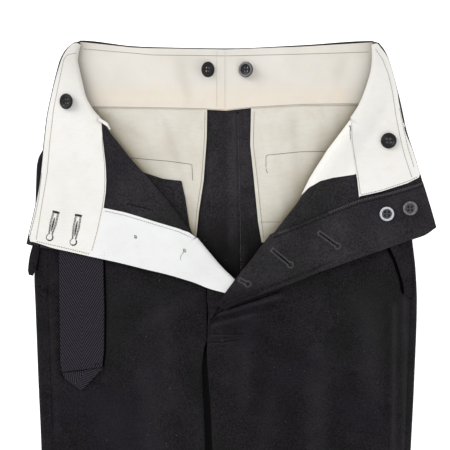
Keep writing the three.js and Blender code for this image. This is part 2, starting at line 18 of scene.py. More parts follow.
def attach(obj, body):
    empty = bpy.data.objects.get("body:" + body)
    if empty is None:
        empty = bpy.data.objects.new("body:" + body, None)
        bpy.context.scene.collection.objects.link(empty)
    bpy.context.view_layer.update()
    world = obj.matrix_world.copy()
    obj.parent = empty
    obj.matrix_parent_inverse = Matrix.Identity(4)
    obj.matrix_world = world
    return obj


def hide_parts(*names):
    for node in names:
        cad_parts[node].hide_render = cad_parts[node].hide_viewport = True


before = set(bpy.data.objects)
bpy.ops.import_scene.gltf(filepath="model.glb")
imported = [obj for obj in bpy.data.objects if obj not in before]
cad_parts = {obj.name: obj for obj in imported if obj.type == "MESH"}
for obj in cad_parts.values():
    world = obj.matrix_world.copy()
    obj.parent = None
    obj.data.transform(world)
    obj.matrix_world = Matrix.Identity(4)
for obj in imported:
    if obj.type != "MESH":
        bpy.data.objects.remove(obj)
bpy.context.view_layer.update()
MM = 0.001  # the tables below are in millimetres, Blender works in metres

# %% [markdown]
# ## The viewpoint
# The garment is seen from straight above, from the waist to mid thigh. A long lens keeps
# the ridges at the folds from leaning outwards. The camera comes first, because all that
# follows is judged through it.

# %% Place the camera over the hips
SEEN = 517.5  # mm of garment across the view
EYE = (-7.5, 322.0, 1900.0)  # mm: over the middle of the view, and how high
LENS = 36.0 * EYE[2] / SEEN


def look_down():
    data = bpy.data.cameras.new("above")
    data.lens = LENS
    data.clip_end = 20
    camera = bpy.data.objects.new("above", data)
    camera.location = Vector(EYE) * MM
    bpy.context.collection.objects.link(camera)
    bpy.context.scene.camera = camera


look_down()
print("lens", round(LENS, 1), "mm")

# %% [markdown]
# ## Curves from short tables
# A pattern cutter notes a few widths and joins them with a curve. Here each table has a
# row for each station, and one function draws a smooth curve through a column that never
# swings past its rows, so an edge keeps the shape that was measured. A Bezier curve would
# look the same, but a function can be asked for the edge at any height.

# %% Tables and the curve through their rows
def table(names, *rows):
    return {n: np.array(c, float) for n, c in zip(names.split(), zip(*rows))}


def curve(at, values):
    """A function that runs smoothly through values at the places at."""
    order = np.argsort(at)
    x, y = np.asarray(at, float)[order], np.asarray(values, float)[order]
    step = np.diff(x)
    slope = np.diff(y) / step
    tangent = np.zeros_like(x)
    before, after = slope[:-1], slope[1:]
    same = before * after > 0
    total = np.where(same, before + after, 1)
    tangent[1:-1] = np.where(same, 2 * before * after / total, 0)
    tangent[0], tangent[-1] = slope[0], slope[-1]

    def read(where):
        where = np.clip(np.asarray(where, float), x[0], x[-1])
        i = np.clip(np.searchsorted(x, where) - 1, 0, len(x) - 2)
        t, h = (where - x[i]) / step[i], step[i]
        return (
            y[i] * (1 + 2 * t) * (1 - t) ** 2
            + y[i + 1] * t**2 * (3 - 2 * t)
            + tangent[i] * h * t * (1 - t) ** 2
            - tangent[i + 1] * h * t**2 * (1 - t)
        )

    return read


def smooth(start, end, value):
    share = np.clip((value - start) / (end - start), 0, 1)
    return share**2 * (3 - 2 * share)


def mix(a, b, share):
    return a + (b - a) * share


print("a quarter up a smooth step", float(smooth(0, 1, 0.25)))

# %% [markdown]
# ## What the cloth measures
# Melton for trousers is about 2 mm thick, lining cotton under 1 mm. Lying on its back the
# garment is two layers of wool with a soft roll along each side, so it is thickest there and
# thins out towards the waist.

# %% Real sizes of the cloth, in millimetres
WOOL, COTTON, BAG, TAPE = 2.0, 0.9, 0.7, 1.2
SEAM_GAP = 0.3  # between two layers that touch
RAW_EDGE = 1.2  # of wool that shows outside a facing's turned edge
EDGE_ROLL = 5.0  # over which an inside leg rounds down
SETTLE = 30.0  # from a fold to where the turned corner lies flat
DROOP = 0.004  # how fast cloth falls away beyond the side, for each mm squared
SAG_SPAN = 60.0  # from the side's roll to the lower middle
UNDERLAP = 2.9  # how far the button stand sinks under the buttonhole side

HEIGHT = table(
    "y side middle",
    (534, 4.6, 4.6),
    (512, 7, 6.5),
    (480, 10, 8.5),
    (440, 12.5, 9.5),
    (350, 13, 10),
    (236, 13, 10),
    (176, 12, 8.5),
    (63, 11, 7.5),
    (-532, 9, 6.5),
)
side_height = curve(HEIGHT["y"], HEIGHT["side"])
middle_height = curve(HEIGHT["y"], HEIGHT["middle"])
print("thickest at the side rolls", HEIGHT["side"].max(), "mm")

# %% [markdown]
# ## The outline and the seams
# Each half of the garment has a side, a side seam that lies a little way in on the upper
# face, a free front edge that becomes the fly and the inside leg, and a corner that is
# turned out over the hip. The wearer's right half lies at -X.

# %% The two halves in numbers
RIGHT_SIDE = table(
    "y x seam",
    (530.5, -180.5, 2.8),
    (515, -186.5, 5),
    (488.5, -196, 10),
    (469, -200.5, 13.5),
    (440.5, -208.5, 16),
    (413, -214, 16),
    (398, -221.5, 16),
    (386.5, -223.5, 16),
    (260, -226, 16),
    (235.5, -225, 15),
    (144, -221.5, 14.5),
    (63, -218, 13.5),
    (-109, -213.5, 12),
    (-532, -197, 10),
)
LEFT_SIDE = table(
    "y x seam",
    (530.5, 168, 2.8),
    (515, 176, 5),
    (488.5, 182.5, 8),
    (440.5, 190.5, 8),
    (408, 196, 8),
    (373.5, 200.5, 8),
    (306, 207, 8),
    (270, 211, 8),
    (235.5, 212.5, 8),
    (144, 209.5, 8),
    (63, 205.5, 7),
    (-109, 197, 7),
    (-532, 176.5, 7),
)
print("right side", len(RIGHT_SIDE["y"]), "rows, left side", len(LEFT_SIDE["y"]))

# %% [markdown]
# ### The open front edges, the seat and the waist
# From the fly down, the front edge of each half is free; below the crotch it becomes the
# inside leg. The two backs meet at the seat seam, which leans to the wearer's right as the
# trousers lie, and the waist edge is a long shallow curve.

# %% Front edges, seat seam and waist edge
RIGHT_FRONT_EDGE = table(
    "y x",
    (258, 4),
    (247, -0.5),
    (235.5, -6.5),
    (222, -8.5),
    (210.5, -13),
    (201, -22.5),
    (192, -28),
    (176, -32),
    (157.5, -34),
    (109, -32),
    (63, -30.5),
    (-109, -33),
    (-339, -38.5),
    (-532, -45.5),
)
LEFT_FRONT_EDGE = table(
    "y x",
    (229, -14.5),
    (222, -18.5),
    (201, -27.2),
    (192, -27.7),
    (176, -28.5),
    (157.5, -27.5),
    (109, -24),
    (63, -22),
    (-109, -11),
    (-339, 5),
    (-532, 21.5),
)
SEAT_SEAM = table("y x", (534, 5), (258, 10.5), (222, 5), (201, -15.5), (192, -27.8))
WAIST_EDGE = table(
    "x y",
    (-180, 530.5),
    (-173.5, 534),
    (-113.5, 527.5),
    (-93.5, 526.5),
    (-6, 525),
    (79, 528.5),
    (161.5, 533.5),
    (168.5, 530.5),
)
print("front edges", len(RIGHT_FRONT_EDGE["y"]), "and", len(LEFT_FRONT_EDGE["y"]), "rows")

# %% [markdown]
# ### The turned corners
# A corner that is folded back keeps the length of its cloth, so a row gives both ends of one
# line across it: its place on the fold, its place on the free edge and the radius of the roll
# between them. The roll is tight at the waist and opens out below it.

# %% The turned corners, station by station
RIGHT_TURN = table(
    "fold_x fold_y edge_x edge_y roll",
    (-173.5, 530.5, -180.5, 530.5, 0.5),
    (-175.5, 523, -189, 523, 1.2),
    (-177, 511.5, -195.5, 511.5, 1.8),
    (-174.5, 498, -200, 495.5, 2.2),
    (-171, 483, -204, 479, 2.8),
    (-167.5, 469, -207.5, 462.5, 3.3),
    (-159.5, 454, -211, 444, 3.8),
    (-147.5, 440.5, -213.5, 422, 4.2),
    (-137, 425.5, -216, 399, 4.5),
    (-125, 410.5, -220, 364.5, 4.5),
    (-114, 396.5, -226, 334.5, 4.5),
    (-101.5, 383, -233.8, 302.5, 4.5),
    (-95, 375.5, -217, 298, 4.5),
    (-89, 368, -199.5, 294, 4.5),
    (-74, 351, -162.5, 285.5, 4.5),
    (-61, 333.5, -130.5, 278.5, 4.3),
    (-49, 317.5, -100.5, 271, 4),
    (-38.5, 305, -75.5, 265, 3.6),
    (-26, 290, -47.5, 256.5, 3),
    (-12, 273.5, -26, 248.5, 2.4),
    (4, 258, -7.5, 243.5, 1.8),
)
LEFT_TURN = table(
    "fold_x fold_y edge_x edge_y roll",
    (162, 530.5, 168.5, 530.5, 0.5),
    (162.5, 523, 174, 523, 1),
    (162.5, 513, 179, 513, 1.6),
    (161, 499, 183.5, 498.5, 2),
    (155, 478.5, 188.5, 480, 2.8),
    (148, 461, 193.5, 459, 3.4),
    (135, 440.5, 199.5, 430, 4.2),
    (122, 423, 207.5, 405.5, 4.5),
    (108.5, 405, 218, 370.5, 4.5),
    (104, 397.5, 225.5, 346, 4.5),
    (99, 390, 233.5, 319, 4.5),
    (94, 382, 220, 310, 4.5),
    (89, 373.5, 206.5, 305.5, 4.5),
    (78.5, 353, 175.5, 295, 4.5),
    (60.5, 329, 136.5, 282, 4.5),
    (38.5, 300, 90.5, 265.5, 4.2),
    (33, 293, 79, 260.5, 4),
    (23, 279.5, 57, 252, 3.6),
    (5.7, 258, 28, 242, 2.8),
    (-6, 242.5, 7.5, 235, 2),
    (-14.5, 229, -8, 227, 1.2),
)
CROTCH = (190, 165)  # up the garment: where the legs begin to part, and where they have

print("stations", len(RIGHT_TURN["roll"]), "right and", len(LEFT_TURN["roll"]), "left")

# %% [markdown]
# ### One half, ready to read
# Both halves are built by the same steps, so each half keeps its curves and the sign that
# points outwards. The free edge of a corner turns sharply at one row, so it is two curves.

# %% Gather each half
class Half:
    """One half of the garment, with its curves ready to read."""

    def __init__(self, out, side, front_edge, turn, corner_row, rest):
        self.out, self.rest = out, rest
        self.side_x = curve(side["y"], side["x"])
        self.seam_in = curve(side["y"], side["seam"])
        self.front_edge = curve(front_edge["y"], front_edge["x"])
        self.turn, self.corner_row = turn, corner_row

    def seam_x(self, y):
        return self.side_x(y) - self.out * self.seam_in(y)

    def turned(self, column, rows):
        """A column of the turned corner; its edge has a sharp corner at one row."""
        values, at = self.turn[column], np.arange(len(self.turn[column]))
        if not column.startswith("edge"):
            return curve(at, values)(rows)
        k = self.corner_row
        first, last = curve(at[: k + 1], values[: k + 1]), curve(at[k:], values[k:])
        return np.where(rows <= k, first(np.minimum(rows, k)), last(np.maximum(rows, k)))


RIGHT = Half(-1, RIGHT_SIDE, RIGHT_FRONT_EDGE, RIGHT_TURN, 11, 2.6)
LEFT = Half(1, LEFT_SIDE, LEFT_FRONT_EDGE, LEFT_TURN, 10, 1.0)
print("hip", round(float(LEFT.side_x(306) - RIGHT.side_x(306))), "mm across")

# %% [markdown]
# ## Soft folds
# Thick wool that has been pressed and then worn has few, broad creases. Each is given as a
# soft trough or ridge along a line: where it runs, how wide it is and how deep.
# Fine sag between them comes from a few slow waves with fixed phases.

# %% The folds
FOLDS = table(
    "x0 y0 x1 y1 width height",
    (36, 216, 30, 110, 9, -2.0),  # beside the fly
    (14, 186, 14, 110, 9, 1.2),
    (66, 196, 64, 20, 14, -2.2),  # the wide one down the left thigh
    (98, 190, 92, -60, 16, 1.3),
    (130, 200, 124, 40, 14, -1.2),
    (186, 232, 184, 40, 3.2, 2.6),  # two pressed lines along the left side
    (180, 232, 178, 50, 4, -1.0),
    (198.5, 240, 197, 60, 3, 2.4),
    (154, 240, 160, 110, 14, 1.1),
    (-18, 219, 60, 241, 3.5, 2.3),  # ridge under the turned corner's lower edge
    (-22, 213, 52, 231, 3.2, -2.0),
    (-24, 206, 28, 220, 3.4, 1.8),  # drag lines from the end of the fly
    (-24, 200.5, 26, 208, 3, -0.9),
    (-26, 195.2, 6, 195.4, 1.9, 1.0),  # the bar seams at the end of the fly
    (-26, 191.6, 14, 193, 2, -0.6),
    (-26, 185.8, 2, 187, 1.9, 0.9),
    (-26, 181.5, 16, 184, 3, -0.6),
    (20, 204, 95, 160, 8, -1.0),
    (24, 190, 80, 130, 8, 0.9),
    (-60, 205, -38, 120, 8, -1.2),  # right thigh
    (-80, 240, -66, 110, 9, 1.0),
    (-98, 170, -90, -40, 18, 1.3),
    (-122, 150, -112, -60, 14, -1.3),
    (-45, 240, -110, 200, 8, 0.9),
    (-208, 240, -199, 80, 4, 1.0),  # right side, outside the belt
    (-214, 250, -206, 90, 3.5, -0.9),
    (-195, 60, -188, -80, 10, 0.9),
    (-60, -60, -150, -110, 14, -1.4),  # knees
    (-55, -95, -120, -150, 12, 1.2),
    (-180, -90, -100, -140, 14, -1.1),
    (20, -70, 120, -125, 15, -1.5),
    (35, -110, 110, -150, 12, 1.2),
    (170, -60, 90, -120, 13, -1.1),
    (-110, -200, -104, -470, 16, -1.0),  # shins
    (-150, -300, -140, -500, 14, 0.9),
    (100, -210, 96, -480, 16, -1.1),
    (60, -280, 66, -500, 14, 0.9),
)


print(len(FOLDS["x0"]), "folds on the fronts")

# %% [markdown]
# ### Adding the folds up
# A fold is a bell-shaped ridge or trough along a slightly bent line that fades at both ends.
# The heights of all folds near a place are added, and slow waves stand for the fine sag.

# %% Add up the folds and the sag
def fold_heights(x, y, folds):
    total = np.zeros(np.broadcast(x, y).shape)
    for x0, y0, x1, y1, width, height in zip(*folds.values()):
        length = math.hypot(x1 - x0, y1 - y0)
        ux, uy = (x1 - x0) / length, (y1 - y0) / length
        along = (x - x0) * ux + (y - y0) * uy
        bend = 0.12 * width * np.sin(math.pi * along / length)
        off = (x - x0) * uy - (y - y0) * ux + bend
        ends = smooth(-1.5 * width, 1.5 * width, along)
        ends = ends * smooth(length + 1.5 * width, length - 1.5 * width, along)
        total = total + height * ends * np.exp(-((off / width) ** 2))
    return total


SLOW_WAVES = table(
    "across along phase height",
    (0.031, 0.017, 0.4, 0.22),
    (-0.022, 0.041, 2.1, 0.18),
    (0.058, -0.026, 4.0, 0.12),
    (0.012, 0.067, 5.2, 0.10),
    (0.09, 0.05, 1.3, 0.07),
)


def sag(x, y, shift=0.0):
    total = 0
    for across, along, phase, height in zip(*SLOW_WAVES.values()):
        total = total + height * np.sin(across * x + along * y + phase + shift)
    return total


print("the deepest fold", fold_heights(65.0, 110.0, FOLDS).round(1), "mm")

# %% [markdown]
# ### One height for everything that lies on a front
# The upper face of a front is a function of the place in plan. The belt, the flaps and the
# turned corners all ask it how high the cloth is under them, so nothing floats or sinks.

# %% The upper face of a front, as it lies
def dip(half, x, y):
    """The button stand sinks so that the buttonhole side can lie over it."""
    if half is not RIGHT:
        return 0
    return UNDERLAP * smooth(-55, -32, x) * smooth(290, 262, y) * smooth(176, 192, y)


def front_base(half, x, y):
    side = side_height(y)
    inwards = half.out * (half.side_x(y) - x) - side / 2
    high = mix(side, middle_height(y), smooth(0, SAG_SPAN, inwards))
    return high - DROOP * np.maximum(0, -inwards) ** 2 - dip(half, x, y)


def front_top(half, x, y):
    quiet = smooth(0, 14, half.out * (half.side_x(y) - x) - side_height(y) / 2)
    return front_base(half, x, y) + quiet * (fold_heights(x, y, FOLDS) + sag(x, y))


print("right thigh", round(float(front_top(RIGHT, -100.0, 100.0)), 1), "mm high")

# %% [markdown]
# ## Cloth with a wall
# A cloth piece is one or more grids of points on its face. Grids that share an edge are
# welded, the wall is the same points moved in along the surface, and a strip closes each
# free edge. That keeps the piece a real thin solid that looks right from any side. The
# Solidify modifier does nearly the same, but here a wall can thin out beside a seam.

# %% Weld, face, wall
def weld(grids):
    points = np.concatenate([g.reshape(-1, 3) for g in grids])
    _, first, number = np.unique(
        np.round(points, 3), axis=0, return_index=True, return_inverse=True
    )
    number = number.ravel()
    quads, start = [], 0
    for grid in grids:
        rows, columns = grid.shape[:2]
        n = number[start : start + rows * columns].reshape(rows, columns)
        start += rows * columns
        quads.append(np.stack([n[:-1, :-1], n[:-1, 1:], n[1:, 1:], n[1:, :-1]], -1).reshape(-1, 4))
    quads = np.concatenate(quads)
    ordered = np.sort(quads, 1)
    corners = 1 + (np.diff(ordered, axis=1) > 0).sum(1)
    return points[first], quads[corners > 2], number


def facing(points, quads):
    a, b, c, d = (points[quads[:, k]] for k in range(4))
    across = np.cross(c - a, d - b)
    normals = np.zeros_like(points)
    for k in range(4):
        np.add.at(normals, quads[:, k], across)
    return normals / np.maximum(np.linalg.norm(normals, axis=1), 1e-9)[:, None]


SQUARE = weld([np.array([[(0, 0, 0), (1, 0, 0)], [(0, 1, 0), (1, 1, 0)]], float)])
print("a flat square faces", facing(*SQUARE[:2])[0])

# %% [markdown]
# ### The wall
# Real cloth has two faces and a cut edge. Moving every point in along its normal gives the
# other face, and edges that only one face uses are the free ones, which get a strip.

# %% Give it a wall
def solid(points, quads, normals, thickness):
    """Points and faces of the cloth with its wall on the side away from its face, and for
    each face whether it is on the inside."""
    n = len(points)
    both = np.concatenate([points, points - normals * np.reshape(thickness, (-1, 1))])
    edges = np.concatenate([quads[:, [k, (k + 1) % 4]] for k in range(4)])
    edges = edges[edges[:, 0] != edges[:, 1]]
    used = set(map(tuple, edges.tolist()))
    rim = sorted((b, a, a + n, b + n) for a, b in used if (b, a) not in used)
    faces = quads.tolist() + rim + (quads[:, ::-1] + n).tolist()
    kept = [[v for i, v in enumerate(face) if v != face[i - 1]] for face in faces]
    inside = [k >= len(quads) + len(rim) for k in range(len(faces))]
    return both, kept, inside


print("a square with a wall has", len(solid(*SQUARE[:2], facing(*SQUARE[:2]), 1)[1]), "faces")

# %% [markdown]
# ### From points to an object
# Each mesh keeps two things beside its shape: where every point lay on the cut cloth, so that
# a weave follows the threads, and how much painted shade it carries. It also keeps a search tree,
# so that stitches and buttons can be dropped on it.

# %% Make the objects
TREES = {}  # each piece's surface, for laying other things on it


def add_mesh(name, points, faces, materials, inside=None, threads=None, shade=None):
    """A mesh object from points in mm. threads gives each point's place on the cut cloth,
    and shade how much darker it is painted, mostly as painted shade, up to 1; below 0 wool takes a
    painted highlight."""
    data = bpy.data.meshes.new(name)
    data.from_pydata((points * MM).tolist(), [], faces)
    places = points[:, :2] if threads is None else threads
    layer = data.uv_layers.new(name="cloth")
    corners = np.zeros(len(data.loops), np.int32)
    data.loops.foreach_get("vertex_index", corners)
    layer.data.foreach_set("uv", (places[corners] * MM).astype(np.float32).ravel())
    if shade is not None:
        tone = data.attributes.new("shade", "FLOAT", "POINT")
        tone.data.foreach_set("value", shade(points[:, 0], points[:, 1]).astype(np.float32))
    for material in materials if isinstance(materials, tuple) else (materials,):
        data.materials.append(material)
    if inside is not None and len(data.materials) > 1:
        data.polygons.foreach_set("material_index", np.array(inside, np.int32))
    data.polygons.foreach_set("use_smooth", [True] * len(data.polygons))
    data.set_sharp_from_angle(angle=math.radians(50))
    piece = bpy.data.objects.new(name, data)
    bpy.context.collection.objects.link(piece)
    TREES[name] = BVHTree.FromPolygons(points.tolist(), faces)
    return piece


def cloth(name, grids, thickness, material, threads=None, shade=None):
    points, quads, number = weld(grids)
    both, faces, inside = solid(points, quads, facing(points, quads), thickness)
    laid = None
    if threads is not None:
        laid = np.zeros((len(points), 2))
        laid[number] = np.concatenate([t.reshape(-1, 2) for t in threads])
        laid = np.concatenate([laid, laid])
    return add_mesh(name, both, faces, material, inside, laid, shade)


print("pieces so far", len(TREES))

# %% [markdown]
# ### Painted shade and highlight
# Under broad light the folds of black wool hardly show, so shade is painted into their hollows
# and a highlight onto their ridges, and the cottons get painted shade next to the turned
# corners' folds. These functions give that as a number for a place in plan; each material
# decides what colour it means.

# %% Painted shade and highlight by place
def folds_near(x, y):
    """1 under the folds of the two fronts, fading to 0 a few cm away from them: where shade is
    painted.
    """
    place = np.stack([np.ravel(x), np.ravel(y)], -1)
    nearest = np.full(len(place), 1e9)
    for turn in (RIGHT_TURN, LEFT_TURN):
        line = spread(np.stack([turn["fold_x"], turn["fold_y"]], -1), 160)
        apart = np.linalg.norm(place[:, None] - line[None], axis=2)
        nearest = np.minimum(nearest, apart.min(1))
    return np.reshape(np.exp(-nearest / 11.0), np.shape(x))


def lengths_along(row):
    steps = np.linalg.norm(np.diff(row, axis=0), axis=1)
    return np.concatenate([[0], np.cumsum(steps)])


def spread(line, count):
    """Points evenly along a line."""
    line = np.array(line, float)
    lengths = lengths_along(line)
    at = np.linspace(0, lengths[-1], count)
    return np.stack([np.interp(at, lengths, line[:, k]) for k in (0, 1)], -1)


def painted_fold_shade_and_highlight(x, y):
    """Painted shade in the hollows of the folds, and a painted highlight on their ridges."""
    return np.clip(-fold_heights(x, y, FOLDS) / 9, -0.32, 0.25)


print("tone in a trough", round(float(painted_fold_shade_and_highlight(65.0, 100.0)), 2))

# %% [markdown]
# ## Materials
# Colours are written as the sRGB values a camera shows and turned to linear, because
# Blender mixes light in linear. One small function adds a node with its settings and
# links; every material below is built with it.

# %% Colour and node helpers
def linear(code):
    channels = [int(code[i : i + 2], 16) / 255 for i in (1, 3, 5)]
    return (*(c / 12.92 if c <= 0.04045 else ((c + 0.055) / 1.055) ** 2.4 for c in channels), 1)


def add_node(tree, kind, inputs=None, **settings):
    """A node of a kind with its settings. An input takes a number, a colour code or what
    another node gives."""
    node = tree.nodes.new(kind)
    for key, value in settings.items():
        setattr(node, key, value)
    for key, value in (inputs or {}).items():
        if isinstance(value, bpy.types.NodeSocket):
            tree.links.new(value, node.inputs[key])
        else:
            node.inputs[key].default_value = linear(value) if isinstance(value, str) else value
    return node


def new_material(name, **values):
    material = bpy.data.materials.new(name)
    material.use_nodes = True
    shader = material.node_tree.nodes["Principled BSDF"]
    for key, value in values.items():
        socket = shader.inputs[key.replace("_", " ")]
        socket.default_value = linear(value) if isinstance(value, str) else value
    return material, material.node_tree, shader


def lay_over(tree, body, *layers):
    """Colours over a body, each growing to its top share between two limits of a value."""
    for value, low, high, top, code in layers:
        limits = {"Value": value, "From Min": low, "From Max": high, "To Max": top}
        share = add_node(tree, "ShaderNodeMapRange", limits).outputs[0]
        both = {"Factor": share, 6: body, 7: code}
        body = add_node(tree, "ShaderNodeMix", both, data_type="RGBA").outputs[2]
    return body


def finish_with(tree, shader, body, height, strength, distance):
    """Give a shader its colour and a fine relief, with its height in metres."""
    tree.links.new(body, shader.inputs["Base Color"])
    relief = {"Height": height, "Strength": strength, "Distance": distance}
    bump = add_node(tree, "ShaderNodeBump", relief)
    tree.links.new(bump.outputs[0], shader.inputs["Normal"])


print("a mid grey in linear light", round(linear("#808080")[0], 3))

# %% [markdown]
# ### Black wool melton
# Melton is woven, felted and shorn, so no weave shows: the eye sees a matt, slightly
# mottled black with a short nap that catches light at grazing angles, and a little lint.

# %% Wool
def wool_melton(name, dark, light):
    material, tree, shader = new_material(
        name, Roughness=0.95, Sheen_Weight=0.06, Sheen_Roughness=0.5, Sheen_Tint="#8C888C",
        Specular_IOR_Level=0.12,
    )  # fmt: skip
    place = add_node(tree, "ShaderNodeTexCoord").outputs["Object"]
    # the shorn nap: tufts of about 2 mm, with finer fibre in them
    nap = {"Vector": place, "Scale": 560, "Detail": 6, "Roughness": 0.85}
    felt = add_node(tree, "ShaderNodeTexNoise", nap).outputs[0]
    worn = {"Vector": place, "Scale": 34, "Detail": 4, "Roughness": 0.6}
    cloudy = add_node(tree, "ShaderNodeTexNoise", worn).outputs[0]
    both = add_node(tree, "ShaderNodeMix", {"A": felt, "B": cloudy, "Factor": 0.18}).outputs[0]
    # the dye has faded unevenly, greener here, more violet there
    broad = {"Vector": place, "Scale": 7, "Detail": 2}
    faded = add_node(tree, "ShaderNodeTexNoise", broad).outputs[0]
    shaded = add_node(tree, "ShaderNodeAttribute", attribute_name="shade").outputs["Fac"]
    # lint: rare pale fibres about 0.5 mm across, drawn at 1 mm so that they show
    lint = add_node(tree, "ShaderNodeTexVoronoi", {"Vector": place, "Scale": 230})
    rare = add_node(tree, "ShaderNodeTexNoise", {"Vector": place, "Scale": 150}).outputs[0]
    near = {0: 0.16, 1: lint.outputs["Distance"]}
    close = add_node(tree, "ShaderNodeMath", near, operation="SUBTRACT").outputs[0]
    chosen = add_node(tree, "ShaderNodeMath", {0: rare, 1: 0.64}, operation="GREATER_THAN")
    parts = {0: close, 1: chosen.outputs[0]}
    fleck = add_node(tree, "ShaderNodeMath", parts, operation="MULTIPLY").outputs[0]
    # the shade attribute paints shade towards #060505 and, below zero, a painted highlight towards
    # #4A464C
    body = lay_over(
        tree, dark, (both, 0.41, 0.61, 1, light), (faded, 0.5, 0.68, 0.5, "#1C1822"),
        (faded, 0.5, 0.34, 0.5, "#171A16"), (shaded, 0, 1, 1, "#060505"),
        (shaded, 0, -1, 0.5, "#4A464C"), (fleck, 0, 0.12, 0.35, "#8A868B"),
    )  # fmt: skip
    finish_with(tree, shader, body, felt, 0.6, 0.0010)
    return material


WOOL_OUTSIDE = wool_melton("black_wool_melton", "#030203", "#262327")
WOOL_INSIDE = wool_melton("black_wool_melton_inside", "#131212", "#39363A")
print("wool:", WOOL_OUTSIDE.name, "and", WOOL_INSIDE.name)

# %% [markdown]
# ### Plain-weave cotton
# The facings are a firm plain weave, the pocket bags a limper and yellower one. A plain
# weave is two sets of threads, about 20 to the centimetre; here they are drawn at 1 mm so
# that they show. Old cotton is uneven: blotches of warm grey run through it.

# %% Threads along the cloth
THREAD = 1.0  # mm between the drawn threads of a plain weave


def wave_of(tree, value, period):
    """A sine along a value in metres, with its period in mm."""
    turns = {0: value, 1: 2 * math.pi / (period * MM)}
    angle = add_node(tree, "ShaderNodeMath", turns, operation="MULTIPLY").outputs[0]
    return add_node(tree, "ShaderNodeMath", {0: angle}, operation="SINE").outputs[0]


def cloth_axes(tree):
    laid = add_node(tree, "ShaderNodeUVMap", uv_map="cloth").outputs[0]
    return add_node(tree, "ShaderNodeSeparateXYZ", {"Vector": laid}).outputs


print("threads drawn every", THREAD, "mm")

# %% [markdown]
# ### The cottons
# Each use of the cloth has its own tone: the facings are palest, the lining has yellowed at
# its foot, and the pocket bags were never white.

# %% Cottons
def plain_weave(name, pale, shade, stain, foot="#9C9484", warm_below=0):
    """Plain-weave cotton. Below warm_below (mm up the garment) it has yellowed, and foot is
    the colour of its painted shade."""
    material, tree, shader = new_material(name, Roughness=0.9, Specular_IOR_Level=0.25)
    place = add_node(tree, "ShaderNodeTexCoord").outputs["Object"]
    soft = {"Vector": place, "Scale": 24, "Detail": 5, "Roughness": 0.6}
    blotch = add_node(tree, "ShaderNodeTexNoise", soft).outputs[0]
    small = {"Vector": place, "Scale": 70, "Detail": 6, "Roughness": 0.7}
    spots = add_node(tree, "ShaderNodeTexNoise", small).outputs[0]
    # slubs: long thicker threads, a few mm apart, that make fine bars across the cloth
    drawn = {"Vector": place, "Scale": (90, 1400, 90)}
    stretched = add_node(tree, "ShaderNodeMapping", drawn).outputs[0]
    slubs = add_node(tree, "ShaderNodeTexNoise", {"Vector": stretched, "Scale": 1}).outputs[0]
    axes = cloth_axes(tree)
    # painted shade: the shade attribute mixes the cloth towards foot
    painted_shade_amount = add_node(tree, "ShaderNodeAttribute", attribute_name="shade").outputs["Fac"]
    body = lay_over(
        tree, pale, (blotch, 0.35, 0.7, 1, shade), (spots, 0.56, 0.75, 0.5, stain),
        (axes[1], (warm_below + 12) * MM, warm_below * MM, 0.25 * bool(warm_below), stain),
        (slubs, 0.5, 0.75, 0.3, stain), (painted_shade_amount, 0, 1, 1, foot),
    )  # fmt: skip
    crossed = {0: wave_of(tree, axes[0], THREAD), 1: wave_of(tree, axes[1], THREAD)}
    weave = add_node(tree, "ShaderNodeMath", crossed, operation="MULTIPLY").outputs[0]
    finish_with(tree, shader, body, weave, 0.25, 0.0003)
    return material


FACING_COTTON = plain_weave("cream_facing_cotton", "#DFDDDA", "#D9D7D2", "#D3CBBE", "#A29E97")
LINING_COTTON = plain_weave(
    "cream_lining_cotton", "#D3D0CA", "#CCC8C0", "#DCC9AE", "#A39E95", warm_below=474
)
BAG_COTTON = plain_weave("pocket_cotton", "#CFCCC3", "#C5C0B4", "#BDB29C", "#857C68")
FRONT_BAG_COTTON = plain_weave("front_pocket_cotton", "#E4E3DF", "#DEDCD7", "#D8D1C5")
WHITE_COTTON = plain_weave("white_cotton", "#DDDEDE", "#D6D7D6", "#D0CFCA", "#A0A09C")
print("five cottons")

# %% [markdown]
# ### Webbing
# The belt is cotton herringbone webbing: two slopes of twill meet in one V along its middle.
# Its ribs stand up and carry a painted highlight, and hard wear has broken them into short dashes.

# %% Webbing
RIB = 4.6  # mm from one twill line to the next along the tape, coarse enough to show
STEEP = 1.7  # how steeply the twill lines run


def herringbone(name, dark, light):
    """Two slopes of twill that meet in one V along the middle of the tape."""
    material, tree, shader = new_material(name, Roughness=0.85, Specular_IOR_Level=0.15)
    axes = cloth_axes(tree)
    across = add_node(tree, "ShaderNodeMath", {0: axes[0]}, operation="ABSOLUTE").outputs[0]
    slope = {0: across, 1: -STEEP, 2: axes[1]}
    diagonal = add_node(tree, "ShaderNodeMath", slope, operation="MULTIPLY_ADD").outputs[0]
    ribs = wave_of(tree, diagonal, RIB)
    place = add_node(tree, "ShaderNodeTexCoord").outputs["Object"]
    grain = {"Vector": place, "Scale": 700, "Detail": 4, "Roughness": 0.8}
    fibre = add_node(tree, "ShaderNodeTexNoise", grain).outputs[0]
    frayed = {0: ribs, 1: 0.3, 2: fibre}
    broken = add_node(tree, "ShaderNodeMath", frayed, operation="MULTIPLY_ADD")
    # the ribs' lighter colour is a painted highlight
    body = lay_over(tree, dark, (broken.outputs[0], 0.28, 0.78, 1, light))
    finish_with(tree, shader, body, ribs, 0.35, 0.0004)
    return material


WEBBING = herringbone("herringbone_webbing", "#09080B", "#332F38")
print("twill lines every", RIB, "mm")

# %% [markdown]
# ### Thread and buttons
# Thread is mercerised cotton, browned with age; the buttons are pressed resin with worn
# rims. All are smooth things whose tone varies a little, so one finish serves them. It also
# gives the black of slits and seams so deep that no light comes back out of them.

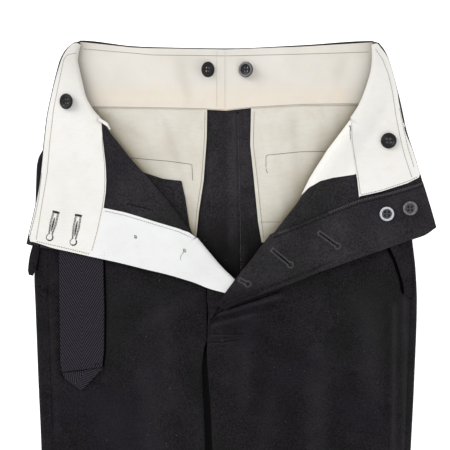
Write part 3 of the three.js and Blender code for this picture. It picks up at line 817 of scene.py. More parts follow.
# %% Thread, resin and deep seams
def plain(name, dark, light, grain, **values):
    """A plain finish whose tone varies a little, with a grain of a size in mm."""
    material, tree, shader = new_material(name, **values)
    place = add_node(tree, "ShaderNodeTexCoord").outputs["Object"]
    fine = {"Vector": place, "Scale": 1 / (grain * MM), "Detail": 3}
    noise = add_node(tree, "ShaderNodeTexNoise", fine).outputs[0]
    body = lay_over(tree, dark, (noise, 0.2, 0.8, 1, light))
    finish_with(tree, shader, body, noise, 0.15, 0.0002)
    return material


BROWN_THREAD = plain("brown_thread", "#3E3127", "#6E5C49", 0.8, Roughness=0.75)
PALE_THREAD = plain("pale_thread", "#8E8272", "#B5AA98", 0.8, Roughness=0.75)
DARK_THREAD = plain("dark_thread", "#151110", "#332C27", 0.8, Roughness=0.75)
GREY_THREAD = plain("grey_thread", "#353336", "#565357", 0.8, Roughness=0.75)
BLACK_THREAD = plain(
    "black_thread", "#0A090A", "#1A181A", 0.8, Roughness=0.85, Specular_IOR_Level=0.1
)
HOLLOW = plain("shaded_slit", "#030303", "#080707", 2, Roughness=0.95, Specular_IOR_Level=0.02)
RESIN = plain("pressed_resin", "#040404", "#0B0A0B", 2, Roughness=0.3, Specular_IOR_Level=0.28)
PALE_RIM = plain("pale_worn_rim", "#9A9AA2", "#C4C4CC", 2, Roughness=0.42)
DULL_RIM = plain("dull_worn_rim", "#232226", "#76757B", 2, Roughness=0.4)
WORN_DISH = plain("worn_dish", "#1A191C", "#37363A", 1, Roughness=0.45)
print(len(bpy.data.materials), "materials")

# %% [markdown]
# ## The fronts
# Each front is one cloth: it runs from the side seam to the fold, round the fold in a
# broad roll, and back outwards as the turned corner with its inside up. Below the corner
# it ends at the fly, and below the crotch it rounds down at the inside leg.

# %% Rows of a front
ROWS_PER_STATION = 7  # rows of points from one station of a turned corner to the next
ROLL_STEPS = 16  # round the half circle of a fold
FLAT_SHARES = np.linspace(0, 1, 72)  # across the body
ARC_SHARES = np.linspace(0, 1, 8)[1:]  # down the edge of the inside leg
TURN_SHARES = np.linspace(0, 1, 41)[1:]  # across the turned corner
SEAM_DROP = 0.4  # mm that a seam is pulled in


def roll_rows(half, rows):
    """For rows of a turned corner: the fold, the roll's middle, the way across, the edge."""
    fold = np.stack([half.turned("fold_x", rows), half.turned("fold_y", rows)], -1)
    edge = np.stack([half.turned("edge_x", rows), half.turned("edge_y", rows)], -1)
    roll = half.turned("roll", rows)
    along = np.gradient(fold, axis=0)
    across = np.stack([along[:, 1], -along[:, 0]], -1)
    across /= np.linalg.norm(across, axis=1)[:, None]
    across *= -half.out * np.sign(across[:, :1])
    middle = fold - across * (roll + WOOL)[:, None]
    return fold, edge, roll, across, middle


print("across a front", len(FLAT_SHARES) + len(ARC_SHARES), "points")

# %% [markdown]
# ### The turned corner
# Each row of a corner starts as a half circle round the fold and then runs out to the free
# edge, settling on the front below. Its own soft folds and the stitched hem on the wearer's
# left are added to its height.

# %% Turn a corner
CORNER_FOLDS = table(
    "x0 y0 x1 y1 width height",
    (-205, 420, -150, 330, 12, 0.7),
    (-185, 380, -190, 300, 9, -0.6),
    (-120, 330, -60, 290, 8, 0.5),
    (195, 440, 165, 434, 3, 0.4),
    (190, 425, 168, 428, 3, -0.3),
    (120, 330, 205, 345, 9, 0.6),
    (60, 290, 140, 310, 8, -0.5),
)


def turned_grid(half, rows):
    _, edge, roll, across, middle = roll_rows(half, rows)
    if half is RIGHT:  # its corner hangs a little lower at the foot of the facing
        hang = 2.4 * smooth(10.6, 11.1, rows) * smooth(13.5, 11.3, rows)
        edge = edge + np.stack([0 * hang, -hang], -1)
    low = front_base(half, middle[:, 0], middle[:, 1])
    angle = np.radians(np.linspace(-90, 90, ROLL_STEPS + 1))
    plan = middle[:, None] + across[:, None] * (roll[:, None] * np.cos(angle))[..., None]
    height = low[:, None] + roll[:, None] * (1 + np.sin(angle))
    rolled = np.concatenate([plan, height[..., None]], -1)
    plan = mix(middle[:, None], edge[:, None], TURN_SHARES[None, :, None])
    length = np.linalg.norm(edge - middle, axis=1)[:, None]
    rest = np.minimum(half.rest, 2 * roll)[:, None]
    lift = mix(2 * roll[:, None], rest, smooth(0, SETTLE, TURN_SHARES * length))
    x, y = plan[..., 0], plan[..., 1]
    ripple = smooth(4, 26, TURN_SHARES * length) * (
        fold_heights(x, y, CORNER_FOLDS) + 0.8 * np.maximum(sag(x, y, 1.7), -0.3)
    )
    from_edge = (1 - TURN_SHARES) * length
    ridge, groove = (np.exp(-(((from_edge - at) / 1.5) ** 2)) for at in (2, 5))
    stitched = (0.7 * ridge - 0.8 * groove) * (smooth(9, 11, rows) * (half is LEFT))[:, None]
    outer = np.stack([x, y, front_base(half, x, y) + lift + ripple + stitched], -1)
    return np.concatenate([rolled, outer], 1)


print("a corner's row has", ROLL_STEPS + 1 + len(TURN_SHARES), "points")

# %% [markdown]
# ### The body of a front
# Under the corner the same cloth runs back to the side seam. Below the crotch its inner edge
# rounds down, so that each leg is a flattened tube.

# %% The body
def body_grid(half, start_y, end, loose):
    """Rows from the side seam to end. Soft folds fade out at a fold, where loose is 0."""
    start = half.seam_x(start_y) - half.out * SEAM_GAP
    width = np.abs(end[:, 0] - start)
    reach = np.minimum(EDGE_ROLL, 0.4 * width)
    parted = smooth(*CROTCH, start_y)

    def at(inset, fall):
        x = end[:, :1] + half.out * inset
        y = mix(end[:, 1:], start_y[:, None], inset / width[:, None])
        share = mix(smooth(0, 25, inset), 1, loose[:, None])
        high = mix(front_base(half, x, y), front_top(half, x, y), share)
        return np.stack([x, y, high - fall], -1)

    flat = at(mix(width[:, None], reach[:, None], FLAT_SHARES[None]), 0)
    depth = (parted * (flat[:, -1, 2] / 2 - SEAM_GAP / 2 - SEAM_DROP))[:, None]
    angle = ARC_SHARES[None] * math.pi / 2
    arc = at(reach[:, None] * (1 - np.sin(angle)), depth * (1 - np.cos(angle)))
    last = at(np.zeros((len(end), 1)), depth + parted[:, None] * SEAM_DROP)
    return np.concatenate([flat, arc, last], 1)


print("edges roll down over", EDGE_ROLL, "mm")

# %% [markdown]
# ### One cloth from both
# The rows are closest together at the fly, where the folds are smallest. Body and corner are
# welded along the fold, so the front stays one cloth. The corner's inside is kept for the
# facings.

# %% Sew body and corner into a front
LEG_STEPS = np.concatenate(
    [np.linspace(0, 0.14, 84), np.linspace(0.14, 0.32, 30)[1:], np.linspace(0.32, 1, 40)[1:]]
)
HEM = -532.0  # mm up the garment, on the same scale as the tables


def row_levels(half):
    """The heights up the garment of every row of a half, from the waist to the hem."""
    stations = len(half.turn["roll"]) - 1
    rows = np.linspace(0, stations, stations * ROWS_PER_STATION + 1)
    folds = half.turned("fold_y", rows)
    return rows, folds, mix(folds[-1] - 2.0, HEM, LEG_STEPS)


def front(half, name):
    rows, folds, legs = row_levels(half)
    upper = body_grid(half, folds, roll_rows(half, rows)[4], np.zeros(len(rows)))
    end = np.stack([half.front_edge(legs), legs], -1)
    lower = body_grid(half, legs, end, smooth(folds[-1], folds[-1] - 12, legs))
    turned = turned_grid(half, rows)
    turned[:, 0] = upper[:, -1]
    order = slice(None, None, half.out)
    grids = [np.concatenate([upper, lower])[order], turned[order]]
    points, quads, number = weld(grids)
    normals = facing(points, quads)
    both, faces, within = solid(points, quads, normals, WOOL)
    finish = (WOOL_OUTSIDE, WOOL_INSIDE)
    # the fronts carry painted shade in their fold hollows and a painted highlight on their ridges
    piece = add_mesh(name, both, faces, finish, within, shade=painted_fold_shade_and_highlight)
    ways = normals[number[-turned[..., 0].size :]].reshape(turned.shape)[order]
    inside = {"at": turned - ways * WOOL, "up": -ways, "rows": rows}
    return piece, inside


right_front, right_inside = front(RIGHT, "right_front_panel")
left_front, left_inside = front(LEFT, "left_front_panel")
print("fronts", [len(o.data.polygons) for o in (right_front, left_front)], "faces")

# %% [markdown]
# ## The backs
# A back lies on the table from the seat seam or the inside leg to the side, rolls round
# there and comes on top as far as the side seam. Its inside shows in the open V, where a
# long soft ridge and a trough run down beside the seat seam.

# %% The folds of the backs
BACK_FOLDS = table(
    "x0 y0 x1 y1 width height",
    (2, 452, 1, 300, 5, 1.1),
    (-10, 470, -8, 290, 6, -0.5),
    (22, 440, 30, 320, 5, 0.6),
    (-22, 400, -28, 330, 4, 0.5),
    (14, 300, 10, 250, 4, 0.7),
)
SEAT_SHARES = np.linspace(1, 0, 9)
WALL_FLOOR = 0.3  # mm: at the crotch the wall turns over, and it may not reach the table
BACK_SHARES = np.linspace(0, 1, 40)[1:]
SIDE_ANGLES = np.radians(np.linspace(-90, 90, 19))[1:]


def back_rise(x, y):
    """How far the back stands off the table in its soft folds."""
    return np.maximum(0, fold_heights(x, y, BACK_FOLDS) + 0.5 * sag(x, y, 0.8) + 0.25)


print(len(BACK_FOLDS["x0"]), "folds on the backs")

# %% [markdown]
# ### The waist edge and the shade in the V
# The rows near the waist are bent to its edge. Under the open V the wool is darker, because
# the corners around it take its light, and between the legs almost none comes out.

# %% Waist edge, shade in the V
seat_seam = curve(SEAT_SEAM["y"], SEAT_SEAM["x"])
waist_edge = curve(WAIST_EDGE["x"], WAIST_EDGE["y"])


def raised(points, y):
    """The rows near the waist follow the curve of the waist edge."""
    top, level = WAIST_EDGE["y"][0], 440
    shift = (waist_edge(points[..., 0]) - top) * np.clip((y - level) / (top - level), 0, 1)
    points[..., 1] += shift
    return points


def deep_in_vee(x, y):
    """Less light reaches the foot of the open V."""
    # painted shade: darker towards the foot of the V and next to the turned corners' folds, in the
    # hollows of the back's folds (with a painted highlight on their ridges), and black between the
    # legs
    dark = 0.75 * smooth(380, 265, y) + 0.4 * folds_near(x, y)
    folds = np.clip(-fold_heights(x, y, BACK_FOLDS) / 3, -0.4, 0.4)
    between_legs = smooth(196, 188, y) * smooth(16, 12, np.abs(x + 28 - 0.06 * (190 - y)))
    return (dark + folds) * smooth(150, 120, np.abs(x)) * (1 - between_legs) + between_legs


print("shade at the foot of the V", float(deep_in_vee(-10.0, 270.0).round(2)))

# %% [markdown]
# ### Cutting the backs
# A row of a back starts at the seat seam, dips to the table, crosses it and rolls up and over
# at the side. Its wall thins beside the seam, where the cloth is pressed flat.

# %% Cut the backs
def back(half, name):
    _, folds, legs = row_levels(half)
    y = np.concatenate([folds, legs])[:, None]
    parted = smooth(*CROTCH, y)
    seat = np.where(y > CROTCH[0], seat_seam(y), half.front_edge(y))
    start = seat + half.out * np.where(y > CROTCH[0], 0.02, SEAM_GAP / 2)
    radius = side_height(y) / 2
    middle = half.side_x(y) - half.out * radius
    top = front_base(half, seat + half.out * EDGE_ROLL, y)
    height = parted * (top / 2 - SEAM_GAP / 2 - SEAM_DROP)
    angle = SEAT_SHARES[None] * math.pi / 2
    gap = LEFT.front_edge(y) - RIGHT.front_edge(y)
    meets = smooth(194, 188, y) * np.clip(gap / 2 + 0.95, 0, 8)
    bulge = meets * np.sin(math.pi * (1 - np.cos(angle)))
    arc_x = start + half.out * (EDGE_ROLL * (1 - np.sin(angle)) - bulge)
    arc = [arc_x, height * (1 - np.cos(angle))]
    first = [start, height + parted * SEAM_DROP]
    flat_x = mix(start + half.out * EDGE_ROLL, middle, BACK_SHARES[None])
    flat = [flat_x, np.zeros_like(flat_x)]
    around = SIDE_ANGLES[None]
    side = [middle + half.out * radius * np.cos(around), radius * (1 + np.sin(around))]
    last = [half.seam_x(y), 2 * radius]
    x, z = (np.concatenate(c, 1) for c in zip(first, arc, flat, side, last))
    level = np.broadcast_to(y, x.shape)
    inner = smooth(0, 12, half.out * (middle - x)) * smooth(0, 6, half.out * (x - start))
    z = z + np.where(z < 0.01, back_rise(x, level) * inner * smooth(180, 230, level), 0)
    grid = raised(np.stack([x, level, z], -1), level)
    points, quads, number = weld([grid[:: half.out]])
    normals = facing(points, quads)
    from_seam = np.abs(points[:, 0] - seat_seam(points[:, 1])) + 99 * (points[:, 1] < 190)
    wall = WOOL - 0.9 * np.exp(-((from_seam / 1.6) ** 2))
    both, faces, within = solid(points, quads, normals, wall)
    both[len(points) :, 2] = np.maximum(both[len(points) :, 2], WALL_FLOOR)
    finish = (WOOL_OUTSIDE, WOOL_INSIDE)
    return add_mesh(name, both, faces, finish, within, shade=deep_in_vee)


right_back, left_back = back(RIGHT, "right_back_panel"), back(LEFT, "left_back_panel")
print("backs", [len(o.data.polygons) for o in (right_back, left_back)], "faces")

# %% [markdown]
# ## The end of the fly
# Below the last buttonhole the left front is not turned: its free edge lies flat on the
# right front and runs down into the stitched end of the fly. It is a small sheet of its
# own that carries the left front on under its fold.

# %% The flat end of the fly
FLY_END = table(
    "y left right",
    (251, -28.3, -4),
    (243, -28.2, -7),
    (236, -27.6, -11),
    (229, -26.8, -14.9),
    (222, -26.4, -18.8),
    (212, -26.8, -23.6),
    (203, -27.8, -27.0),
)


def fly_end():
    y = np.linspace(251, 203, 60)[:, None]
    left = curve(FLY_END["y"], FLY_END["left"])(y)
    right = curve(FLY_END["y"], FLY_END["right"])(y)
    x = mix(left, right, np.linspace(0, 1, 26)[None])
    y = y + 0 * x
    z = front_base(LEFT, x, y) + 0.4 * sag(x, y) - 0.8 * smooth(238, 250, y)
    z = z - 0.5 * np.exp(-(((x - left) / 1.2) ** 2))
    return cloth("left_fly_end", [np.stack([x, y, z], -1)], WOOL, WOOL_OUTSIDE)


left_fly_end = fly_end()
print("fly end", [round(v * 1000, 1) for v in left_fly_end.dimensions], "mm")

# %% [markdown]
# ## Sheets sewn on the inside of the corners
# A facing is cut to the shape of the edge and sewn flat on the wool, so it takes the
# corner's own form. Each sheet here is read off the corner's inside, from one border line
# to another, and set a little above it.

# %% Lay a sheet on a corner
def crossing(row, line, first):
    """Where a row of points crosses a line, counted in columns; none gives nan."""
    a, b = row[first:-1, None, :2], row[first + 1 :, None, :2]
    p, q = line[None, :-1], line[None, 1:]
    along, step = b - a, q - p
    cross = along[..., 0] * step[..., 1] - along[..., 1] * step[..., 0]
    gap = p - a
    with np.errstate(divide="ignore", invalid="ignore"):
        on_row = (gap[..., 0] * step[..., 1] - gap[..., 1] * step[..., 0]) / cross
        on_line = (gap[..., 0] * along[..., 1] - gap[..., 1] * along[..., 0]) / cross
    near = 1e-7
    hit = (abs(on_row - 0.5) <= 0.5 + near) & (abs(on_line - 0.5) <= 0.5 + near)
    places = np.argwhere(hit)
    return first + places[0, 0] + on_row[tuple(places[0])] if len(places) else np.nan


def read_row(values, columns):
    c = np.clip(np.floor(columns).astype(int), 0, len(values) - 2)
    share = (columns - c)[:, None]
    return mix(values[c], values[c + 1], share)


def along_row(row, column, distance):
    """The column that lies a distance in mm further along a row."""
    lengths = lengths_along(row)
    at = np.interp(column, np.arange(len(row)), lengths) + distance
    return float(np.interp(at, lengths, np.arange(len(row))))


def even_columns(row, first, last, count):
    lengths = lengths_along(row)
    ends = np.interp([first, last], np.arange(len(row)), lengths)
    return np.interp(np.linspace(*ends, count), lengths, np.arange(len(row)))


print("a 30 mm row, 10 mm on", along_row(np.array([(0, 0, 0), (30, 0, 0)], float), 0, 10))

# %% [markdown]
# ### Read a sheet off a corner
# For each row the sheet starts at the border line it crosses, or under the fold, and ends at
# another line or just inside the free edge. Wool shows outside a facing only as far as its
# edge is turned in, which differs from place to place.

# %% Cut a sheet to its borders
ACROSS = 64  # points across a sheet
CLOSE = 1e-6  # a row this near to a station counts as on it


def on_corner(inside, stations, start, borders, ends, gap, thickness, bare=None, wave=0.0):
    """A sheet on a corner between two stations. start is a column; lines may cut it off."""
    first, last = stations
    picked = (inside["rows"] >= first - CLOSE) & (inside["rows"] <= last + CLOSE)
    borders, ends = [np.array(b, float) for b in borders], [np.array(e, float) for e in ends]
    rows = inside["rows"][picked]
    edges = bare(rows) if bare else RAW_EDGE + 0 * rows
    grid = []
    for at, up, edge in zip(inside["at"][picked], inside["up"][picked], edges):
        low = [c for c in (crossing(at, b, ROLL_STEPS // 2) for b in borders) if c == c]
        high = [c for c in (crossing(at, e, ROLL_STEPS // 2) for e in ends) if c == c]
        first = max(low) if low else start
        last = min(high) if high else along_row(at, len(at) - 1, -edge)
        columns = even_columns(at, first, max(last, first + 0.02), ACROSS)
        place, way = read_row(at, columns), read_row(up, columns)
        lift = gap + thickness + wave * (1 + sag(place[:, 0] * 2.2, place[:, 1] * 2.2))
        grid.append(place + way * np.reshape(lift, (-1, 1)))
    return np.array(grid)


def corner_sheet(name, half, inside, thickness, material, *where, shade=None, **how):
    grid = on_corner(inside, *where, thickness=thickness, **how)
    order = slice(None, None, -half.out)
    return cloth(name, [grid[order]], thickness, material, shade=shade)


def right_bare(rows):
    """How much of the wool's edge shows outside the right facing, in mm."""
    at_foot = smooth(10.7, 11.1, rows) * smooth(13.2, 11.3, rows)
    return RAW_EDGE + 0.9 * smooth(4.5, 2, rows) + 5.2 * at_foot


def left_bare(rows):
    worn = smooth(4.2, 5, rows) * smooth(7, 6, rows)
    return 1.0 + 2.0 * smooth(2.4, 0.8, rows) + 1.5 * worn


def near_waist(x, y):
    """The facings are a little darker towards the waist, more on the right, and carry painted shade
    next to the folds.
    """
    return np.where(x < 0, 0.3, 0.12) * smooth(450, 520, y) + 0.12 * folds_near(x, y)


print("wool outside the right facing", right_bare(np.array([0.0, 12.0])).round(1), "mm")

# %% [markdown]
# ### The facings, the fly and a corner of pocket
# Cream facings run along both waist edges. On the button side the fly is faced in white
# cotton; on the buttonhole side in a broad strip of wool that gives the buttonholes body.
# A triangle of pocket cotton shows along the left fold.

# %% Border lines on the turned corners
OVER_FOLD = 5  # a column on the roll, past its outermost line
RIGHT_FACING_LINE = [
    (-151, 452), (-148.5, 438), (-146, 415.5), (-143.5, 392), (-143, 373.5), (-143.5, 360),
    (-146, 341.5), (-152, 314), (-158, 291.5), (-164, 282.5),
]  # fmt: skip
RIGHT_FLY_LINE = [
    (-153.5, 345), (-146, 341.5), (-122, 336.5), (-80.5, 324), (-60.5, 318), (-49.5, 313.5),
    (-41, 307),
]  # fmt: skip
LEFT_FACING_LINE = [
    (138, 450), (136, 438), (135.5, 418.5), (138.5, 402), (143.5, 373.5), (145.5, 354.5),
    (146, 351),
]  # fmt: skip
LEFT_FACING_END = [
    (141, 353), (145.5, 354.5), (170, 360), (200, 369.5), (215, 377), (221.5, 380.5),
]  # fmt: skip
LEFT_BAG_LINE = [
    (74, 349.5), (79, 354.5), (87.5, 364), (100.5, 372), (115, 376), (140, 379.5), (144.5, 380),
]  # fmt: skip
LEFT_FLY_LINE = [
    (39.5, 309), (46, 311.5), (79, 324.5), (112, 338), (145, 351), (178, 359), (211, 368.5),
    (221.5, 373.5), (226, 376),
]  # fmt: skip
print("the left fly facing's inner edge has", len(LEFT_FLY_LINE), "places")

# %% [markdown]
# ### Cut the sheets for the corners
# Each names the corner, the stations it runs between and its border lines. The facings are
# sewn down a little proud of the wool; the bag's corner is thin and lies close to it.

# %% Cut facings, fly and pocket corner
right_facing = corner_sheet(
    "right_waist_facing_cloth", RIGHT, right_inside, COTTON, FACING_COTTON,
    (0.25, 14), OVER_FOLD, [RIGHT_FACING_LINE], [], gap=0.25, wave=0.12, bare=right_bare,
    shade=near_waist,
)  # fmt: skip
left_facing = corner_sheet(
    "left_waist_facing_cloth", LEFT, left_inside, COTTON, FACING_COTTON,
    (0.25, 11), OVER_FOLD, [LEFT_FACING_LINE], [LEFT_FACING_END], gap=0.9, wave=0.12,
    bare=left_bare, shade=near_waist,
)  # fmt: skip
right_fly = corner_sheet(
    "right_fly_facing_cloth", RIGHT, right_inside, COTTON, WHITE_COTTON,
    (11.8, 20), OVER_FOLD, [RIGHT_FLY_LINE], [RIGHT_FACING_LINE], gap=0.25, wave=0.1,
)  # fmt: skip
left_fly = corner_sheet(
    "left_fly_facing_cloth", LEFT, left_inside, WOOL, WOOL_INSIDE,
    (8, 20), OVER_FOLD, [LEFT_FLY_LINE], [], gap=0.5, bare=lambda rows: 0.5 + 0 * rows,
    shade=lambda x, y: 0.6 * smooth(268, 238, y),
)  # fmt: skip
left_bag_corner = corner_sheet(
    "left_front_pocket_bag_cloth", LEFT, left_inside, BAG, FRONT_BAG_COTTON,
    (5.6, 12.9), OVER_FOLD, [], [LEFT_FACING_LINE, LEFT_BAG_LINE], gap=0.15, wave=0.1,
)  # fmt: skip
print("right facing", len(right_facing.data.polygons), "faces")

# %% [markdown]
# ## Linings and pocket bags inside the back
# These lie on the wool of the back. The waist lining is firm and nearly flat; the pocket
# bags are thin, so they follow every ridge and pucker along their seams.

# %% Patches between two lines
BELT_MIDDLE = (-171.3, 150)  # where the threads of the tape are counted from


def thread_places(x, y, degrees):
    """Places on the cut cloth of threads that run at an angle to the garment."""
    angle = math.radians(degrees)
    off, along = x - BELT_MIDDLE[0], y - BELT_MIDDLE[1]
    across = off * math.cos(angle) - along * math.sin(angle)
    return np.stack([across, off * math.sin(angle) + along * math.cos(angle)], -1)


def patch(name, low, high, counts, height, thickness, material, shade=None, turn=None):
    """A sheet between two lines that run the same way. height gives what it lies on."""
    a, b = spread(low, counts[0]), spread(high, counts[0])
    plan = mix(a[:, None], b[:, None], np.linspace(0, 1, counts[1])[None, :, None])
    x, y = plan[..., 0], plan[..., 1]
    grid = np.stack([x, y, height(x, y) + thickness], -1)
    laid = thread_places(x, y, turn or 0)
    if np.cross(b[0] - a[0], a[-1] - a[0]) > 0:
        grid, laid = grid[::-1], laid[::-1]
    return cloth(name, [grid], thickness, material, None if turn is None else [laid], shade)


print("threads at 90 degrees", thread_places(np.array(0.0), np.array(0.0), 90).round(1))

# %% [markdown]
# ### What the linings lie on
# Each cotton piece asks for its own height: the wool of the back, then soft wrinkles of its
# own. The lining also steps up over the top edges of the bags that it covers.

# %% The folds of the linings and the bags
def lining_floor(x, y):
    return WOOL + back_rise(x, y) + SEAM_GAP


LINING_FOLDS = table(
    "x0 y0 x1 y1 width height",
    (-150, 505, -60, 470, 9, 0.5),
    (-110, 520, -95, 465, 6, 0.4),
    (-60, 515, -50, 462, 7, -0.4),
    (40, 510, 120, 475, 10, 0.5),
    (60, 520, 66, 465, 6, 0.4),
    (130, 515, 110, 465, 8, -0.4),
)
BAG_FOLDS = table(
    "x0 y0 x1 y1 width height",
    (-110, 445, -50, 350, 6, 1.0),
    (-80, 450, -42, 330, 5, -0.8),
    (-140, 430, -90, 372, 6, 0.9),
    (-60, 440, -36, 400, 4, 0.7),
    (-150, 448, -100, 420, 6, -0.6),
    (40, 440, 60, 330, 6, 1.0),
    (70, 450, 75, 360, 6, -0.8),
    (100, 440, 92, 385, 6, 0.9),
    (30, 360, 60, 325, 4, 0.7),
    (120, 450, 128, 425, 5, -0.6),
)


def lining_top(x, y):
    wrinkles = fold_heights(x, y, LINING_FOLDS) + 0.25 + 0.4 * sag(x, y, 2.0)
    over_bags = (BAG + 0.15) * smooth(472, 463, y) * smooth(6, 14, np.abs(x + 4) - 18)
    return lining_floor(x, y) + np.maximum(0, wrinkles) + over_bags


def bag_top(x, y):
    fine = 0.16 * np.sin(0.55 * y + 0.13 * x) * np.sin(0.31 * x - 0.2 * y)
    loose = smooth(462, 448, y)
    wrinkles = loose * (fold_heights(x, y, BAG_FOLDS) + 0.5 + 0.5 * sag(x, y, 3.0) + fine)
    return lining_floor(x, y) + np.maximum(0, wrinkles)


# painted shade next to the turned corners' folds and in the hollows of the lining's wrinkles
def lining_painted_shade(x, y):
    return folds_near(x, y) + 0.5 * np.clip(-fold_heights(x, y, LINING_FOLDS), 0, 0.6)


def bag_painted_shade(x, y):
    """Painted shade in the puckers of the thin cloth, and more next to the turned corners' folds."""
    puckers = 0.5 * fold_heights(x, y, BAG_FOLDS) + 0.35 * sag(2.6 * x, 1.4 * y, 1.0)
    return folds_near(x, y) - 0.3 * np.clip(puckers, -0.6, 0)


print("folds", len(LINING_FOLDS["x0"]), "on the lining,", len(BAG_FOLDS["x0"]), "on the bags")

# %% [markdown]
# ### Cutting the linings and the bags
# The lining is cut in two halves that meet at the middle of the back. Each bag runs from the
# lining down to a point that the turned corner hides, and a strip of wool faces one pocket.

# %% The waist lining and the pocket bags
right_lining = patch(
    "right_back_lining_cloth",
    [(-178, 457.5), (-158, 457), (-70.5, 455.5), (-31, 454.6), (-6.03, 453.2)],
    [(-177.5, 530.5), (-173, 532), (-113.5, 525.6), (-93.5, 524.8), (-6.03, 523.4)],
    (120, 60), lining_top, COTTON, LINING_COTTON, lining_painted_shade,
)  # fmt: skip
left_lining = patch(
    "left_back_lining_cloth",
    [(-5.97, 453.2), (22.5, 456.3), (79, 459.5), (164, 460.5)],
    [(-5.97, 523.4), (79, 526.6), (160.5, 531.5), (163.5, 531.2)],
    (120, 60), lining_top, COTTON, LINING_COTTON, lining_painted_shade,
)  # fmt: skip
right_bag = patch(
    "right_pocket_bag_cloth",
    [(-170, 460), (-150, 420), (-128, 396), (-100, 360), (-72, 326), (-50, 300)],
    [(-28, 457.5), (-28.5, 422), (-32, 373.5), (-37.5, 337), (-40.5, 308), (-47, 299)],
    (110, 70), bag_top, BAG, BAG_COTTON, bag_painted_shade,
)  # fmt: skip
left_bag = patch(
    "left_pocket_bag_cloth",
    [(22.5, 460), (21.5, 414), (25.5, 376), (30.5, 325.5), (34.5, 302)],
    [(159, 463.5), (133, 415), (112, 390), (84, 346), (50, 302)],
    (110, 70), bag_top, BAG, BAG_COTTON, bag_painted_shade,
)  # fmt: skip
pocket_facing = patch(
    "right_pocket_facing_cloth",
    [(-101.5, 382.5), (-78.5, 375), (-57.5, 372.5), (-53, 353), (-48, 320), (-44.5, 310.5)],
    [(-110, 374), (-99, 362), (-86, 346), (-74, 332), (-60, 315), (-50, 304)],
    (70, 24), lambda x, y: bag_top(x, y) + BAG + 0.25, COTTON, WOOL_INSIDE,
)  # fmt: skip
cottons = (right_lining, left_lining, right_bag, left_bag)
print("lining and bags", sum(len(o.data.polygons) for o in cottons), "faces")

# %% [markdown]
# ## The belt
# Its loose end comes out under the turned corner and lies down the right thigh. The end is
# folded to a point, so a second layer lies under the first there, with its ribs aslant.
# Both are patches between two edges that ask the thigh for its height. The places on the
# cut cloth are turned for the point, so the weave turns with it.

# %% Belt
BELT_GAP = 0.3  # mm between the belt and what it lies on


def on_front(half, gap):
    """The height of a sheet that lies a gap above a front."""
    return lambda x, y: front_top(half, x, y) + gap


def over_point(x, y):
    """The belt's cut end lies over its folded point."""
    step = (TAPE + BELT_GAP) * smooth(182, 168, y)
    return front_top(RIGHT, x, y) + (BELT_GAP + step)


belt = patch(
    "belt_webbing",
    [(-197.5, 322), (-196.6, 240), (-195.4, 166), (-193.6, 154.2)],
    [(-147.8, 322), (-145.8, 225), (-146.2, 178), (-148.2, 159.4)],
    (150, 26), over_point, TAPE, WEBBING, turn=0,
)  # fmt: skip
belt_point = patch(
    "belt_point",
    [(-193.4, 164), (-192.4, 152), (-190.7, 146.4), (-172.8, 133.2)],
    [(-148, 168), (-147.6, 162), (-147.9, 157.6), (-171.2, 133.2)],
    (30, 26), on_front(RIGHT, BELT_GAP), TAPE, WEBBING, turn=38,
)  # fmt: skip
print("belt", [round(v * 1000) for v in belt.dimensions], "mm")

# %% [markdown]
# ## The pocket flaps
# On the left a curved slit opens beside the side seam: a flap of wool over a strip of shade.
# On the right only the lower end of the flap looks out beyond the side, like a tongue.

# %% Flaps
left_flap = patch(
    "left_pocket_flap_cloth",
    [(203, 303.6), (205.5, 270), (206, 240)],
    [(179.9, 298), (187.9, 281), (192.4, 266.5), (195.7, 256), (196.8, 248), (198, 240)],
    (48, 22), on_front(LEFT, 0.15), WOOL, WOOL_OUTSIDE,
)  # fmt: skip
slit = patch(
    "left_pocket_slit",
    [(180.2, 297), (188.2, 281), (192.7, 266.5), (196, 256), (196.8, 248), (195.6, 243)],
    [(176.2, 297), (184, 281), (189, 266.5), (192, 256), (193, 247), (195.1, 243)],
    (48, 6), on_front(LEFT, 0.1), 0.3, HOLLOW,
)  # fmt: skip


def flap_height(x, y):
    """The flap leans up and out beyond the side, rounded along both edges."""
    out = (x + 226.5) / 4
    return 14.8 - 1.3 * out**2 + 0.6 * out


right_flap = patch(
    "right_pocket_flap_cloth",
    [(-226.5, 299), (-229, 288), (-230.3, 279.5), (-231.1, 270), (-230, 265)],
    [(-220, 299), (-221, 288), (-222.2, 279.5), (-223.6, 271.5), (-226, 264.2)],
    (40, 16), flap_height, WOOL, WOOL_OUTSIDE,
)  # fmt: skip
print("right flap", [round(v * 1000) for v in right_flap.dimensions], "mm")

# %% [markdown]
# ## Sewing
# Machine stitches are what makes flat cloth read as clothing. Each line is cut into short
# grains of thread, about 2.5 mm apart, and every grain is dropped from above onto the
# cloth it holds, so that it follows folds and rolls. A bump texture could draw them, but
# it would vanish from the side and from an exported mesh.

# %% Drop stitches on the cloth
def drop(x, y, hosts):
    """The highest cloth under a place and the way it faces there."""
    best = None
    for host in hosts:
        place, way, _, _ = TREES[host].ray_cast(Vector((x, y, 90)), Vector((0, 0, -1)))
        if place is not None and (best is None or place.z > best[0].z):
            best = place, way if way.z > 0 else -way
    return best


print("cloth under a place", round(drop(-100, 100, ["right_front_panel"])[0].z, 1), "mm up")

# %% [markdown]
# ### A grain of thread
# A stitch is a short spindle: three small rings of four points, full in the middle and thin
# where it goes down into the cloth. Thousands of them make one mesh.

# %% Grains and lines of them
RING = [(-1, 0.0), (0, 1.0), (1, 0.0), (0, -0.4)]  # across and up, in half widths
POINTS_A_GRAIN = 3 * len(RING)


